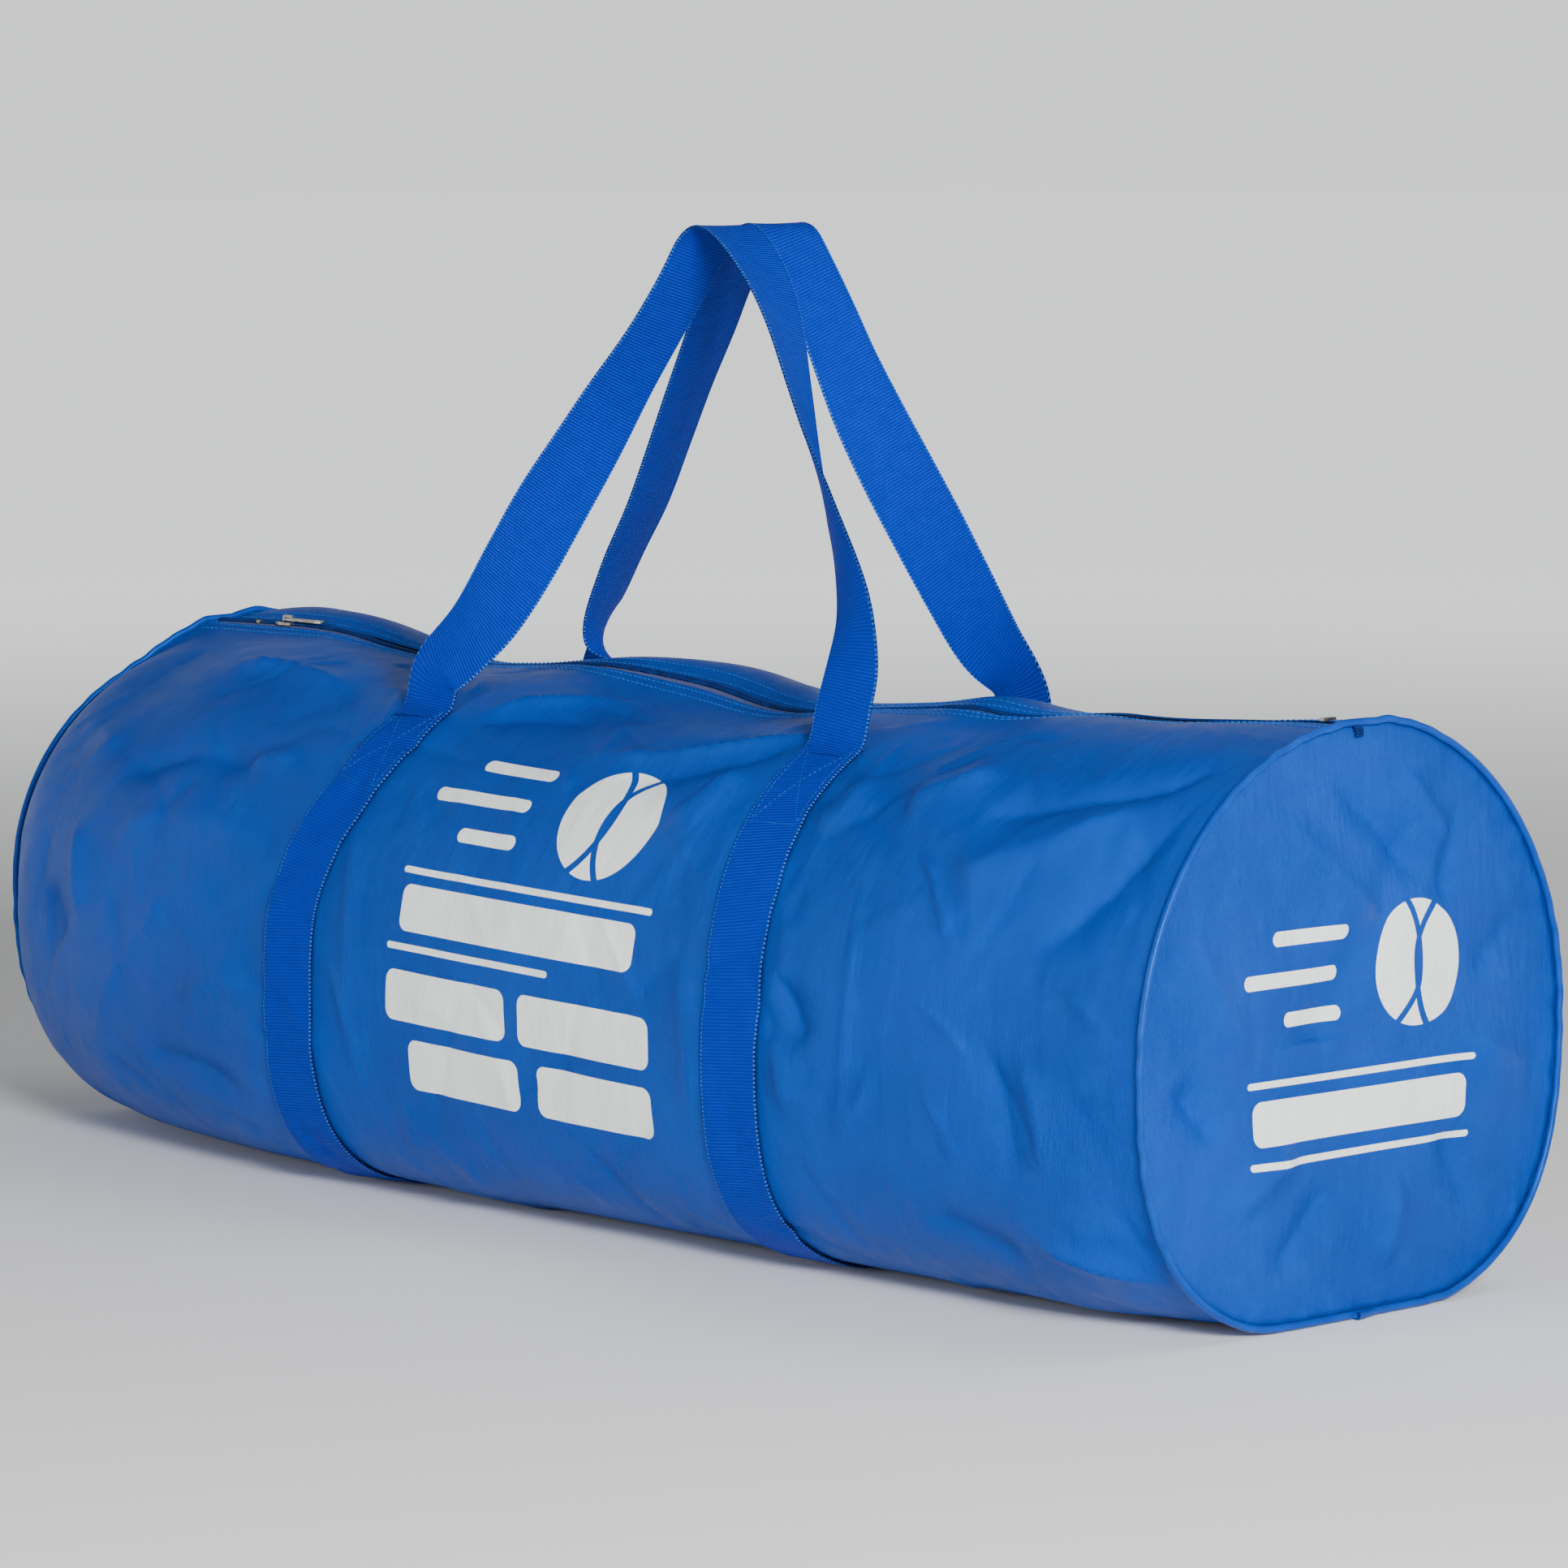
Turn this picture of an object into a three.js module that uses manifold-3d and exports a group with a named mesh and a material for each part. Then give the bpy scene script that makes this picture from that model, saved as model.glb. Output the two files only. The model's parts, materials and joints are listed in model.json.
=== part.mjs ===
// A long round kit bag (holdall): a fabric tube lying on its side, closed by two round end
// panels with piping in the seams, opened by a zip along the top, and carried by two webbing
// handles that run on under the bag as bands.
// Millimetres. X runs along the bag, -Y is its front, +Z is up, and it rests on z = 0.
// "s" is the distance along the bag's centre line, and the left end bends back towards +Y.
// "angle" goes round the bag from the top (0) over the front, the underside and the rear.

import * as THREE from 'three';
import { mergeVertices } from 'three/addons/utils/BufferGeometryUtils.js';
import Module from 'manifold-3d';

const wasm = await Module();
wasm.setup();

// ---------------------------------------------------------------- driving dimensions
const RIGHT_LENGTH = 450;         // from the middle of the handles to the right seam
const LEFT_LENGTH = 465;          // the same to the left seam, along the centre line
const BEND_START = -200;          // where the centre line starts to bend back
const BEND_ANGLE = THREE.MathUtils.degToRad(20);
const END_HALF_WIDTH = 151;       // half the bag's width at the end seams
const MID_HALF_WIDTH = 157;       // and in the middle, where the bag spreads
const END_MIDDLE_HEIGHT = 140;    // height of the widest place at the ends
const MID_MIDDLE_HEIGHT = 118;    // and in the middle
const RAMP = 120;                 // length over which the tube narrows to its end seam
const FABRIC = 2;                 // wall of every fabric panel
const GAP = 0.3;                  // clearance between sewn pieces
const WEB_WIDTH = 40;
const WEB_THICKNESS = 1.7;
const WEB_CLEARANCE = 0.8;        // between a band and the flat facets of the fabric
const FLOOR_LIFT = WEB_CLEARANCE + WEB_THICKNESS;   // the bag rests on its two bands
const MOUTH_HALF = 300;           // half the length of the part that opens
const HINGE_HEIGHT = 190;         // fabric above this line folds outwards
const ZIP_LEFT = { y: 28, z: 287 };
const ZIP_RIGHT = { y: -2, z: 291 };
const ZIP_SAG = 11;               // how far the zip hangs between the handles
const SLOT_HALF = 7.3;            // half the gap between the two fabric edges
const BAND_X = { left: -175, right: 175 };
const ANCHOR_Y = 77;              // where the webbing leaves the bag to become a handle
const ANCHOR_X = { front_left: -150, front_right: 168, rear_left: -182, rear_right: 150 };
const ARCH_SPLIT = 399.5;         // height at which a raised handle folds in half
const PIPING_RADIUS = 2.2;
const SLIDER_REST = -400;
const ZIP_STOP_X = { left: -424, right: 432 };
const TAPE_THICKNESS = 0.9;
const TAPE_WIDTH = 14;            // from the middle of the zip to the tape's edge
const BINDING_WIDTH = 10;
const BINDING_THICKNESS = 1.2;

// ---------------------------------------------------------------- colours
const BLUE = { color: 0x1c56c0, roughness: 0.5, metalness: 0 };
const WEBBING = { color: 0x1244c2, roughness: 0.75, metalness: 0 };
const NAVY = { color: 0x14224f, roughness: 0.7, metalness: 0 };
const PIPING = { color: 0x1c5fe0, roughness: 0.25, metalness: 0 };
const METAL = { color: 0x8f8a80, roughness: 0.35, metalness: 1 };

const bag = new THREE.Group();

function addPart(name, geometry, look) {
  const mesh = new THREE.Mesh(geometry, new THREE.MeshStandardMaterial(look));
  mesh.name = name;
  bag.add(mesh);
  return mesh;
}

// ---------------------------------------------------------------- the bag's surface
const smooth = (t) => THREE.MathUtils.smoothstep(t, 0, 1);
const mix = THREE.MathUtils.lerp;
const curvature = BEND_ANGLE / (LEFT_LENGTH + BEND_START);

function centreLine(s) {
  const turn = curvature * Math.max(BEND_START - s, 0);
  if (turn === 0) return { x: s, y: 0, turn };
  return {
    x: BEND_START - Math.sin(turn) / curvature,
    y: (1 - Math.cos(turn)) / curvature,
    turn,
  };
}

// The zip lies on one straight line seen from above, so that its slider can run along it.
function zipOffset(s, aside = 0) {
  const { x, y, turn } = centreLine(s);
  const slope = (ZIP_LEFT.y - ZIP_RIGHT.y) / (RIGHT_LENGTH + LEFT_LENGTH);
  const level = ZIP_RIGHT.y + slope * (RIGHT_LENGTH - x) + aside;
  return (level - y) / (Math.cos(turn) + slope * Math.sin(turn));
}

function zipHeight(s) {
  const along = (s + LEFT_LENGTH) / (RIGHT_LENGTH + LEFT_LENGTH);
  const sag = ZIP_SAG * (1 - smooth((Math.abs(s) - 210) / 90));
  return mix(ZIP_LEFT.z, ZIP_RIGHT.z, along) - sag;
}

// The cross-section is an oval that is squarer below than above.
function section(s) {
  const end = s < 0 ? LEFT_LENGTH : RIGHT_LENGTH;
  const full = 1 - smooth((Math.abs(s) - end + RAMP) / RAMP);
  const middle = 1 - smooth((Math.abs(s) - 180) / 270);
  const halfWidth = mix(END_HALF_WIDTH, MID_HALF_WIDTH, full);
  const centre = mix(END_MIDDLE_HEIGHT, MID_MIDDLE_HEIGHT, middle);
  const upperPower = mix(2, 2.2, middle);
  const lean = Math.pow(Math.abs(zipOffset(s)) / halfWidth, upperPower);
  return {
    halfWidth,
    centre,
    rise: (zipHeight(s) + 1 - centre) / Math.pow(1 - lean, 1 / upperPower),
    drop: centre + 2,
    upperPower,
    lowerPower: mix(2.7, 3.2, full),
    floor: FLOOR_LIFT + 3 * smooth((Math.abs(s) - end + 12) / 8),
  };
}

// A point on the bag's skin, or "grow" mm outside it.
function skin(s, angle, grow = 0) {
  const shape = section(s);
  const { x, y, turn } = centreLine(s);
  const up = Math.cos(angle);
  const aside = Math.sin(angle);
  const power = 2 / (up > 0 ? shape.upperPower : shape.lowerPower);
  const across = -(shape.halfWidth + grow) * Math.sign(aside) * Math.abs(aside) ** power;
  const reach = (up > 0 ? shape.rise : shape.drop) + grow;
  let z = shape.centre + reach * Math.sign(up) * Math.abs(up) ** power;
  z = Math.max(z, shape.floor - grow);
  z = Math.min(z, zipHeight(s) + grow);
  return new THREE.Vector3(x + across * Math.sin(turn), y + across * Math.cos(turn), z);
}

// The angle at which the skin above the middle is "across" mm from the centre line.
function angleAcross(s, across) {
  const { halfWidth, upperPower } = section(s);
  return -Math.sign(across) * Math.asin((Math.abs(across) / halfWidth) ** (upperPower / 2));
}

// ---------------------------------------------------------------- mesh helpers
const range = (from, to, steps) =>
  Array.from({ length: steps + 1 }, (_, i) => mix(from, to, i / steps));

// A closed plate between two grids of points: outer[i][j] and inner[i][j].
function plate(outer, inner) {
  const rows = outer.length;
  const columns = outer[0].length;
  const points = [...outer.flat(), ...inner.flat()];
  const at = (side, i, j) => side * rows * columns + i * columns + j;
  const index = [];
  const quad = (a, b, c, d) => index.push(a, b, c, a, c, d);
  for (let i = 0; i + 1 < rows; i += 1) {
    for (let j = 0; j + 1 < columns; j += 1) {
      quad(at(0, i, j), at(0, i, j + 1), at(0, i + 1, j + 1), at(0, i + 1, j));
      quad(at(1, i, j), at(1, i + 1, j), at(1, i + 1, j + 1), at(1, i, j + 1));
    }
    quad(at(0, i, 0), at(0, i + 1, 0), at(1, i + 1, 0), at(1, i, 0));
    const last = columns - 1;
    quad(at(0, i + 1, last), at(0, i, last), at(1, i, last), at(1, i + 1, last));
  }
  for (let j = 0; j + 1 < columns; j += 1) {
    quad(at(0, 0, j + 1), at(0, 0, j), at(1, 0, j), at(1, 0, j + 1));
    const last = rows - 1;
    quad(at(0, last, j), at(0, last, j + 1), at(1, last, j + 1), at(1, last, j));
  }
  const geometry = new THREE.BufferGeometry().setFromPoints(points);
  geometry.setIndex(index);
  return outwards(geometry);
}

// Turns the faces round if the plate was built inside out.
function outwards(geometry) {
  const p = geometry.attributes.position;
  const index = geometry.index.array;
  const corner = (i) => new THREE.Vector3().fromBufferAttribute(p, index[i]);
  let volume = 0;
  for (let i = 0; i < index.length; i += 3) {
    volume += corner(i).dot(corner(i + 1).cross(corner(i + 2)));
  }
  if (volume > 0) return geometry;
  for (let i = 0; i < index.length; i += 3) {
    [index[i + 1], index[i + 2]] = [index[i + 2], index[i + 1]];
  }
  return geometry;
}

function toSolid(source) {
  const bare = source.clone();
  bare.deleteAttribute('normal');
  bare.deleteAttribute('uv');
  const merged = mergeVertices(bare, 1e-4);
  return new wasm.Manifold(new wasm.Mesh({
    numProp: 3,
    vertProperties: new Float32Array(merged.attributes.position.array),
    triVerts: new Uint32Array(merged.index.array),
  }));
}

function toGeometry(solid) {
  const mesh = solid.getMesh();
  const geometry = new THREE.BufferGeometry();
  geometry.setAttribute('position', new THREE.BufferAttribute(mesh.vertProperties, 3));
  geometry.setIndex(new THREE.BufferAttribute(mesh.triVerts, 1));
  return geometry;
}

function block(low, high) {
  const size = new THREE.Vector3(...high).sub(new THREE.Vector3(...low));
  const box = new THREE.BoxGeometry(size.x, size.y, size.z);
  box.translate(low[0] + size.x / 2, low[1] + size.y / 2, low[2] + size.z / 2);
  return box;
}

// ---------------------------------------------------------------- fabric panels
const stations = [
  ...range(-LEFT_LENGTH, -LEFT_LENGTH + 16, 2),
  ...range(-425, BEND_START, 9),
  ...range(-150, 400, 11),
  ...range(RIGHT_LENGTH - 16, RIGHT_LENGTH, 2),
];
const FAR = 600;

// The whole tube, open along the zip, before the mouth is cut out of it.
function tube() {
  const layer = (grow) => stations.map((s) => {
    const front = angleAcross(s, zipOffset(s, -SLOT_HALF));
    const rear = angleAcross(s, zipOffset(s, SLOT_HALF)) + 2 * Math.PI;
    return range(front, rear, 36).map((angle) => skin(s, angle, grow));
  });
  return toSolid(plate(layer(0), layer(-FABRIC)));
}

const wholeTube = tube();
const mouthCut = toSolid(block(
  [-MOUTH_HALF, -FAR, HINGE_HEIGHT - 0.5], [MOUTH_HALF, FAR, FAR]));

// The space above the hinge line on one side of the zip.
function flapSpace(low, high) {
  const beside = block([-FAR, low, 0], [FAR, high, FAR]);
  beside.rotateZ(Math.atan2(ZIP_RIGHT.y - ZIP_LEFT.y, RIGHT_LENGTH + LEFT_LENGTH));
  const middle = RIGHT_LENGTH / (RIGHT_LENGTH + LEFT_LENGTH);
  beside.translate(0, mix(ZIP_RIGHT.y, ZIP_LEFT.y, middle), 0);
  const above = block(
    [-MOUTH_HALF + 0.5, -FAR, HINGE_HEIGHT], [MOUTH_HALF - 0.5, FAR, FAR]);
  return toSolid(above).intersect(toSolid(beside));
}
const frontSpace = flapSpace(-FAR, 0);
const rearSpace = flapSpace(0, FAR);
addPart('main_panel', toGeometry(wholeTube.subtract(mouthCut)), BLUE);
addPart('front_mouth_panel', toGeometry(wholeTube.intersect(frontSpace)), BLUE);
addPart('rear_mouth_panel', toGeometry(wholeTube.intersect(rearSpace)), BLUE);

// Round end panels, each a flat disc cut to the outline of the tube's end.
function endPanel(s, outward) {
  const face = (depth) => {
    const shift = new THREE.Vector3(Math.cos(centreLine(s).turn), -Math.sin(centreLine(s).turn), 0);
    shift.multiplyScalar(outward * depth);
    return (angle, grow) => skin(s, angle, grow).add(shift);
  };
  const outer = face(GAP + FABRIC);
  const inner = face(GAP);
  const halves = (point) => range(0, Math.PI, 22).map((angle) => {
    const front = point(angle, -0.1);
    const rear = point(2 * Math.PI - angle, -0.1);
    return [front, front.clone().lerp(rear, 0.5), rear];
  }).slice(1, -1);
  return plate(halves(outer), halves(inner));
}
addPart('left_end_panel', endPanel(-LEFT_LENGTH, -1), BLUE);
addPart('right_end_panel', endPanel(RIGHT_LENGTH, 1), BLUE);

// A closed polygon of a circle's points, for sweeping along a seam.
function circle(radius, sides) {
  const corners = range(0, 2 * Math.PI, sides).slice(0, -1);
  return new THREE.Shape(corners.map((a) =>
    new THREE.Vector2(radius * Math.cos(a), radius * Math.sin(a))));
}

// Piping round each end seam, in one length whose ends meet underneath.
function piping(s, outward, radius, grow) {
  const turn = centreLine(s).turn;
  const along = new THREE.Vector3(Math.cos(turn), -Math.sin(turn), 0).multiplyScalar(outward);
  const meeting = Math.PI;
  const points = range(meeting + 0.002, meeting + 2 * Math.PI - 0.002, 64).map((angle) => {
    const point = skin(s, angle % (2 * Math.PI), grow).add(along);
    point.z = Math.max(point.z, radius);
    return point;
  });
  return new THREE.ExtrudeGeometry(circle(radius, 6), {
    extrudePath: new THREE.CatmullRomCurve3(points, false, 'centripetal'),
    steps: 64,
    bevelEnabled: false,
  });
}
const PIPING_GROW = PIPING_RADIUS + 0.5;
addPart('left_piping', piping(-LEFT_LENGTH, -1, PIPING_RADIUS, PIPING_GROW), PIPING);
addPart('right_piping', piping(RIGHT_LENGTH, 1, PIPING_RADIUS, PIPING_GROW), PIPING);

// Binding tape over the raw seam edges, inside the bag.
const BINDING_DEPTH = FABRIC + 1.6;
function seamBinding(s, inward) {
  const near = s + inward * 4;
  const far = near + inward * BINDING_WIDTH;
  const layer = (grow) => [near, far].map((place) =>
    range(0.25, 2 * Math.PI - 0.25, 32).map((angle) => skin(place, angle, grow)));
  return plate(layer(-BINDING_DEPTH), layer(-BINDING_DEPTH - BINDING_THICKNESS));
}
addPart('left_seam_binding', seamBinding(-LEFT_LENGTH, 1), NAVY);
addPart('right_seam_binding', seamBinding(RIGHT_LENGTH, -1), NAVY);

// ---------------------------------------------------------------- zip
// A strip along the zip from "near" to "far" mm aside of its centre, between two levels.
function zipStrip(near, far, low, high) {
  const layer = (grow) => stations.slice(1, -1).map((s) => [near, far].map((aside) =>
    skin(s, angleAcross(s, zipOffset(s, aside)), grow)));
  return toSolid(plate(layer(high), layer(low)));
}

const TAPE_TOP = -FABRIC - 1.2;
const zipParts = [
  {
    name: 'zip_tape',
    near: 1.5,
    far: TAPE_WIDTH,
    low: TAPE_TOP - TAPE_THICKNESS,
    high: TAPE_TOP,
  },
  { name: 'zip_coil', near: 1.2, far: 3.8, low: TAPE_TOP + GAP, high: 0.4 },
];
const zipSpan = {
  left: [-FAR, -MOUTH_HALF],
  mouth: [-MOUTH_HALF + 0.5, MOUTH_HALF - 0.5],
  right: [MOUTH_HALF, FAR],
};
for (const { name, near, far, low, high } of zipParts) {
  for (const [side, sign] of [['front', -1], ['rear', 1]]) {
    const strip = zipStrip(sign * near, sign * far, low, high);
    for (const [place, [from, to]] of Object.entries(zipSpan)) {
      const piece = strip.intersect(toSolid(block([from, -FAR, 0], [to, FAR, FAR])));
      addPart(`${side}_${name}_${place}`, toGeometry(piece), NAVY);
    }
  }
}

// A frame that sits on the zip's line: local X along the zip, Z up from the fabric's face.
function onZip(x) {
  const frame = new THREE.Group();
  const along = (x + LEFT_LENGTH) / (RIGHT_LENGTH + LEFT_LENGTH);
  const height = mix(ZIP_LEFT.z, ZIP_RIGHT.z, along);
  frame.position.set(x, mix(ZIP_LEFT.y, ZIP_RIGHT.y, along), height);
  frame.rotation.z = Math.atan2(ZIP_RIGHT.y - ZIP_LEFT.y, RIGHT_LENGTH + LEFT_LENGTH);
  bag.add(frame);
  return frame;
}

// Slider: a top and a bottom plate joined by a post between the two coils, with a bridge.
function sliderGeometry() {
  const outline = new THREE.Shape();
  outline.moveTo(-8, -3.5);
  outline.lineTo(-3, -5.5);
  outline.lineTo(7, -4.5);
  outline.lineTo(7, 4.5);
  outline.lineTo(-3, 5.5);
  outline.lineTo(-8, 3.5);
  outline.closePath();
  const plateAt = (z) => new THREE.ExtrudeGeometry(
    outline, { depth: 1.4, bevelEnabled: false }).translate(0, 0, z);
  const top = toSolid(plateAt(0.9));
  const bottom = toSolid(plateAt(-6));
  const post = toSolid(block([-7, -0.8, -4.8], [-1, 0.8, 1]));
  const bridge = new THREE.Shape();
  bridge.moveTo(-5, 0);
  bridge.lineTo(-4, 4.2);
  bridge.lineTo(3.5, 4.2);
  bridge.lineTo(5, 0);
  bridge.lineTo(3.2, 0);
  bridge.lineTo(2.4, 2.8);
  bridge.lineTo(-3, 2.8);
  bridge.lineTo(-3.4, 0);
  bridge.closePath();
  const arch = new THREE.ExtrudeGeometry(bridge, { depth: 1.8, bevelEnabled: false });
  arch.rotateX(Math.PI / 2).translate(0, 0.9, 2.1);
  return toGeometry(top.add(bottom).add(post).add(toSolid(arch)));
}
const slider = addPart('zip_slider', sliderGeometry(), METAL);
onZip(SLIDER_REST).add(slider);

// Pull tab: a flat tongue with an eye that hangs in the slider's bridge.
function pullGeometry() {
  const tongue = new THREE.Shape();
  tongue.moveTo(0, -2.6);
  tongue.lineTo(9, -2.2);
  tongue.lineTo(28, -3.6);
  tongue.absarc(29, 0, 3.6, -Math.PI / 2, Math.PI / 2, false);
  tongue.lineTo(9, 2.2);
  tongue.lineTo(0, 2.6);
  tongue.closePath();
  const eye = new THREE.Path();
  eye.moveTo(1.2, -1.3);
  eye.lineTo(1.2, 1.3);
  eye.lineTo(6.8, 1.3);
  eye.lineTo(6.8, -1.3);
  eye.closePath();
  tongue.holes.push(eye);
  const slot = new THREE.Path();
  slot.absarc(27.5, 0, 1.5, 0, 2 * Math.PI, true);
  tongue.holes.push(slot);
  return new THREE.ExtrudeGeometry(
    tongue, { depth: 1.1, bevelEnabled: false, curveSegments: 8 });
}
const pull = addPart('zip_pull', pullGeometry(), METAL);
pull.position.set(-0.6, 0, 3.4);
onZip(SLIDER_REST).add(pull);

// Metal stops crimped over the coil's ends.
for (const [side, x] of Object.entries(ZIP_STOP_X)) {
  const stop = addPart(`zip_stop_${side}`, block([-1.5, -4.2, 0.7], [1.5, 4.2, 2.2]), METAL);
  onZip(x).add(stop);
}

// ---------------------------------------------------------------- webbing
// Where a band crosses height z on its way up to the handle's anchor.
function bandX(side, face, z) {
  const lean = smooth((z - 150) / 110);
  return mix(BAND_X[side], ANCHOR_X[`${face}_${side}`], lean);
}

// A band over the stretch from one angle to another, on the outside of the fabric.
function band(side, angles) {
  const point = (angle, edge, grow) => {
    const face = angle < Math.PI ? 'front' : 'rear';
    const s = bandX(side, face, skin(BAND_X[side], angle).z) + edge;
    return skin(s, angle, grow);
  };
  const layer = (grow) => angles.map((angle) =>
    [-WEB_WIDTH / 2, WEB_WIDTH / 2].map((edge) => point(angle, edge, grow)));
  return toSolid(plate(layer(WEB_CLEARANCE + WEB_THICKNESS), layer(WEB_CLEARANCE)));
}

const anchorAngle = (side, face) => Math.abs(angleAcross(ANCHOR_X[`${face}_${side}`], ANCHOR_Y));
for (const side of ['left', 'right']) {
  const front = anchorAngle(side, 'front');
  const rear = 2 * Math.PI - anchorAngle(side, 'rear');
  const loop = band(side, range(front, rear, 44));
  addPart(`${side}_band`, toGeometry(loop.subtract(mouthCut)), WEBBING);
  addPart(`front_${side}_band_top`, toGeometry(loop.intersect(frontSpace)), WEBBING);
  addPart(`rear_${side}_band_top`, toGeometry(loop.intersect(rearSpace)), WEBBING);
}

// The foot of a handle, just outside the band that it continues.
const FOOT_GROW = WEB_CLEARANCE + WEB_THICKNESS + 2.4;
function foot(side, face) {
  const angle = anchorAngle(side, face) * (face === 'front' ? 1 : -1);
  const point = skin(ANCHOR_X[`${face}_${side}`], angle, FOOT_GROW);
  return [point.x, point.y, point.z];
}

// Handle routes, foot to foot: x, y, z of the webbing's middle, and "twist", the angle in
// degrees by which its width has turned from along the bag to across it.
const HANDLES = {
  front: [
    [...foot('left', 'front'), 0], [-150, -75, 281, 0], [-134, -71, 296, 8],
    [-118, -65, 314, 18], [-98, -58, 345, 34],
    [-79, -52, 376, 47], [-59, -45, 407, 63], [-40, -38, 438, 77], [-20, -31, 468, 87],
    [0, -25, 500, 90], [11, -21.5, 520, 90], [22, -21, 526, 90], [36, -21.5, 520, 95],
    [62, -26, 497, 104], [79, -31, 475, 112], [98, -38, 442, 122], [114, -44, 414, 131],
    [132, -50, 386, 143], [149, -55, 358, 151], [164, -62, 328, 163], [168, -68, 300, 178],
    [168, -74, 282, 180], [...foot('right', 'front'), 180],
  ],
  rear: [
    [...foot('left', 'rear'), 180], [-182, 75, 281, 165], [-180, 72, 292, 127],
    [-173, 67, 304, 115], [-148, 60, 337, 108],
    [-119, 53, 370, 105], [-94, 46, 403, 104], [-70, 39, 435, 102], [-47, 33, 465, 98],
    [-24, 26, 495, 94], [-2, 22, 516, 91], [12, 21, 525, 90], [25, 21, 525, 90],
    [35, 24, 508, 88], [45, 29, 484, 84], [55, 36, 454, 76], [68, 42, 424, 61],
    [83, 48, 395, 48], [100, 54, 365, 38], [116, 60, 336, 28], [134, 66, 306, 17],
    [146, 71, 292, 6], [150, 75, 280, 0], [...foot('right', 'rear'), 0],
  ],
};

// The webbing as a plate that follows its route and turns with its twist.
function handle(route) {
  const curve = new THREE.CatmullRomCurve3(
    route.map(([x, y, z]) => new THREE.Vector3(x, y, z)), false, 'centripetal');
  const steps = 2 * (route.length - 1);
  const outer = [];
  const inner = [];
  for (let i = 0; i <= steps; i += 1) {
    const stop = Math.min(Math.floor(i / 2), route.length - 2);
    const twist = THREE.MathUtils.degToRad(mix(route[stop][3], route[stop + 1][3], i / 2 - stop));
    const middle = curve.getPoint(i / steps);
    const along = curve.getTangent(i / steps);
    const across = new THREE.Vector3(Math.cos(twist), Math.sin(twist), 0);
    across.addScaledVector(along, -across.dot(along)).setLength(WEB_WIDTH / 2);
    const up = across.clone().cross(along).setLength(WEB_THICKNESS / 2);
    const corners = (lift) => [-1, 1].map((edge) =>
      middle.clone().addScaledVector(across, edge).addScaledVector(up, lift));
    outer.push(corners(1));
    inner.push(corners(-1));
  }
  return toSolid(plate(outer, inner));
}

for (const [face, route] of Object.entries(HANDLES)) {
  const webbing = handle(route);
  const below = ARCH_SPLIT - 0.3;
  const above = ARCH_SPLIT + 0.3;
  const part = (low, high) => toGeometry(webbing.intersect(toSolid(block(low, high))));
  addPart(`${face}_handle_left`, part([-FAR, -FAR, 0], [20, FAR, below]), WEBBING);
  addPart(`${face}_handle_right`, part([20, -FAR, 0], [FAR, FAR, below]), WEBBING);
  addPart(`${face}_handle_arch`, part([-FAR, -FAR, above], [FAR, FAR, FAR]), WEBBING);
}

// The origin is under the middle of the bag's box.
const extent = new THREE.Box3().setFromObject(bag);
const middle = extent.getCenter(new THREE.Vector3());
bag.position.set(-middle.x, -middle.y, -extent.min.z);

export default bag;
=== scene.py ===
import json
import math

import bmesh
import bpy
import numpy as np
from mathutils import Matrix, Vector


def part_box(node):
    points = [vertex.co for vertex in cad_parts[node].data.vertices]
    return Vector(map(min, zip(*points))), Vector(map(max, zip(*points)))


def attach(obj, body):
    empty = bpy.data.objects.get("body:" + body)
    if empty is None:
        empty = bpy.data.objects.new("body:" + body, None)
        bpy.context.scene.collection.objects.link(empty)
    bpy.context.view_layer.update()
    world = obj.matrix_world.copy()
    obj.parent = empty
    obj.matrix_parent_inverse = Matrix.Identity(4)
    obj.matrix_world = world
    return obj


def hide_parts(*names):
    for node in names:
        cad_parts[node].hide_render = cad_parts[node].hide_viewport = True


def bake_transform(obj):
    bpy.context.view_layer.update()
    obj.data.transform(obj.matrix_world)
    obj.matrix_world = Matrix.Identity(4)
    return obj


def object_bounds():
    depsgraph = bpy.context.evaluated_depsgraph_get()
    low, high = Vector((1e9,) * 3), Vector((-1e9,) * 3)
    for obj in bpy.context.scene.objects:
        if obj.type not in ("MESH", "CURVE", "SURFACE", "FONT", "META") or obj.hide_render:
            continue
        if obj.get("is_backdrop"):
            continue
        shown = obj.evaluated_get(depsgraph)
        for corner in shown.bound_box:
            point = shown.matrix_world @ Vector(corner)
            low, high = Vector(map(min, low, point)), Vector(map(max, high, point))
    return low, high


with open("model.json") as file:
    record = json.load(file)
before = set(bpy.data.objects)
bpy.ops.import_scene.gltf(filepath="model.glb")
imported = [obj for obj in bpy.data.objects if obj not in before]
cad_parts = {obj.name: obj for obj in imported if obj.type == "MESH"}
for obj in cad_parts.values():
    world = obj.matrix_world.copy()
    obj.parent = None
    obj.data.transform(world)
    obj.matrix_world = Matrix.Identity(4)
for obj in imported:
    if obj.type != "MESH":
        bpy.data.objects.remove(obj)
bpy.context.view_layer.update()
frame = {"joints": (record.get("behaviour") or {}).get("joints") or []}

# A long round kit bag: blue coated nylon over its contents, piped round ends, a zip along the
# top, and webbing handles that run on under the bag as bands.
# The shape is worked out in the "bag frame": millimetres, origin under the middle of the
# handles. place() turns it into the row frame in metres.

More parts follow.
